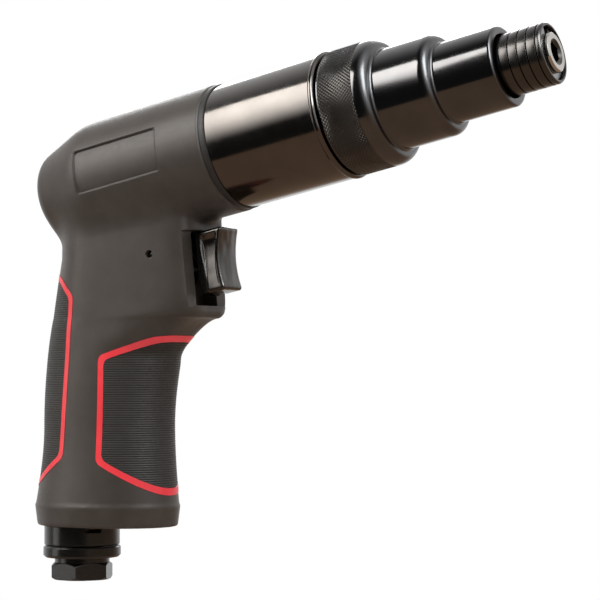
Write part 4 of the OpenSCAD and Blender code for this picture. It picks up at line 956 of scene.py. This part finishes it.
def fade_down(data, dark, bright):
    """Makes an area light fade to nothing between two heights of its panel, 0 at the bottom and 1 at the top."""
    data.use_nodes = True
    tree = data.node_tree
    split = new_node(tree, "ShaderNodeSeparateXYZ")
    tree.links.new(new_node(tree, "ShaderNodeNewGeometry").outputs["Parametric"], split.inputs["Vector"])
    strength = smooth_ramp(tree, split.outputs["Y"], dark, bright)
    tree.links.new(strength, tree.nodes["Emission"].inputs["Strength"])


key = area_light("key_softbox", (-0.69, -0.77, 0.47), (0.7, 1.16), 18.5, (1.0, 0.97, 0.935))
fade_down(key, 0.1, 0.8)
area_light("rear_softbox", (-0.5, 0.9, 0.5), (0.8, 0.5), 5.0)
area_light("right_softbox", (0.68, -0.30, 0.53), (0.40, 0.64), 8.0, (0.93, 0.97, 1.0))
area_light("left_fill", (-1.0, -0.62, 0.10), (0.4, 0.4), 1.0, (1.0, 0.97, 0.94))


def studio_world():
    """Seen, the background is white; mirrored, it is white behind the object and before its nose, and else dark."""
    world = bpy.data.worlds.new("studio")
    bpy.context.scene.world = world
    world.use_nodes = True
    tree = world.node_tree
    tree.nodes.clear()

    def background(color):
        node = new_node(tree, "ShaderNodeBackground")
        node.inputs["Color"].default_value = (*color, 1)
        return node

    rays = new_node(tree, "ShaderNodeLightPath")
    aim = new_node(tree, "ShaderNodeTexCoord").outputs["Generated"]
    behind = smooth_ramp(tree, vector_value(tree, "DOT_PRODUCT", aim, AHEAD), -0.1, 0.75, 0.03)
    before_nose = smooth_ramp(tree, vector_value(tree, "DOT_PRODUCT", aim, NOSE_WAY), 0.45, 0.95)
    seen, mirrored, room = background(WHITE), background(WHITE), background(ROOM)
    tree.links.new(math_of(tree, "MAXIMUM", behind, before_nose), mirrored.inputs["Strength"])
    unseen = mixed(tree, mirrored_rays(tree, rays), room.outputs["Background"], mirrored.outputs["Background"])
    surface = mixed(tree, rays.outputs["Is Camera Ray"], unseen, seen.outputs["Background"])
    output = new_node(tree, "ShaderNodeOutputWorld")
    tree.links.new(surface, output.inputs["Surface"])


studio_world()

camera_data = bpy.data.cameras.new("camera")
camera_data.lens = 132
camera_data.sensor_width = 36
camera_data.clip_start = 0.05
camera = bpy.data.objects.new("camera", camera_data)
camera_right, camera_up, camera_back = (0.8536, 0.4909, -0.1744), (0.2157, -0.0282, 0.9761), [-c for c in AHEAD]
camera_turn = Matrix((camera_right, camera_up, camera_back)).transposed().to_4x4()
camera.matrix_world = Matrix.Translation((0.2494, -0.6583, -0.1565)) @ camera_turn
bpy.context.scene.collection.objects.link(camera)
bpy.context.scene.camera = camera
bpy.context.scene.view_settings.view_transform = "Standard"
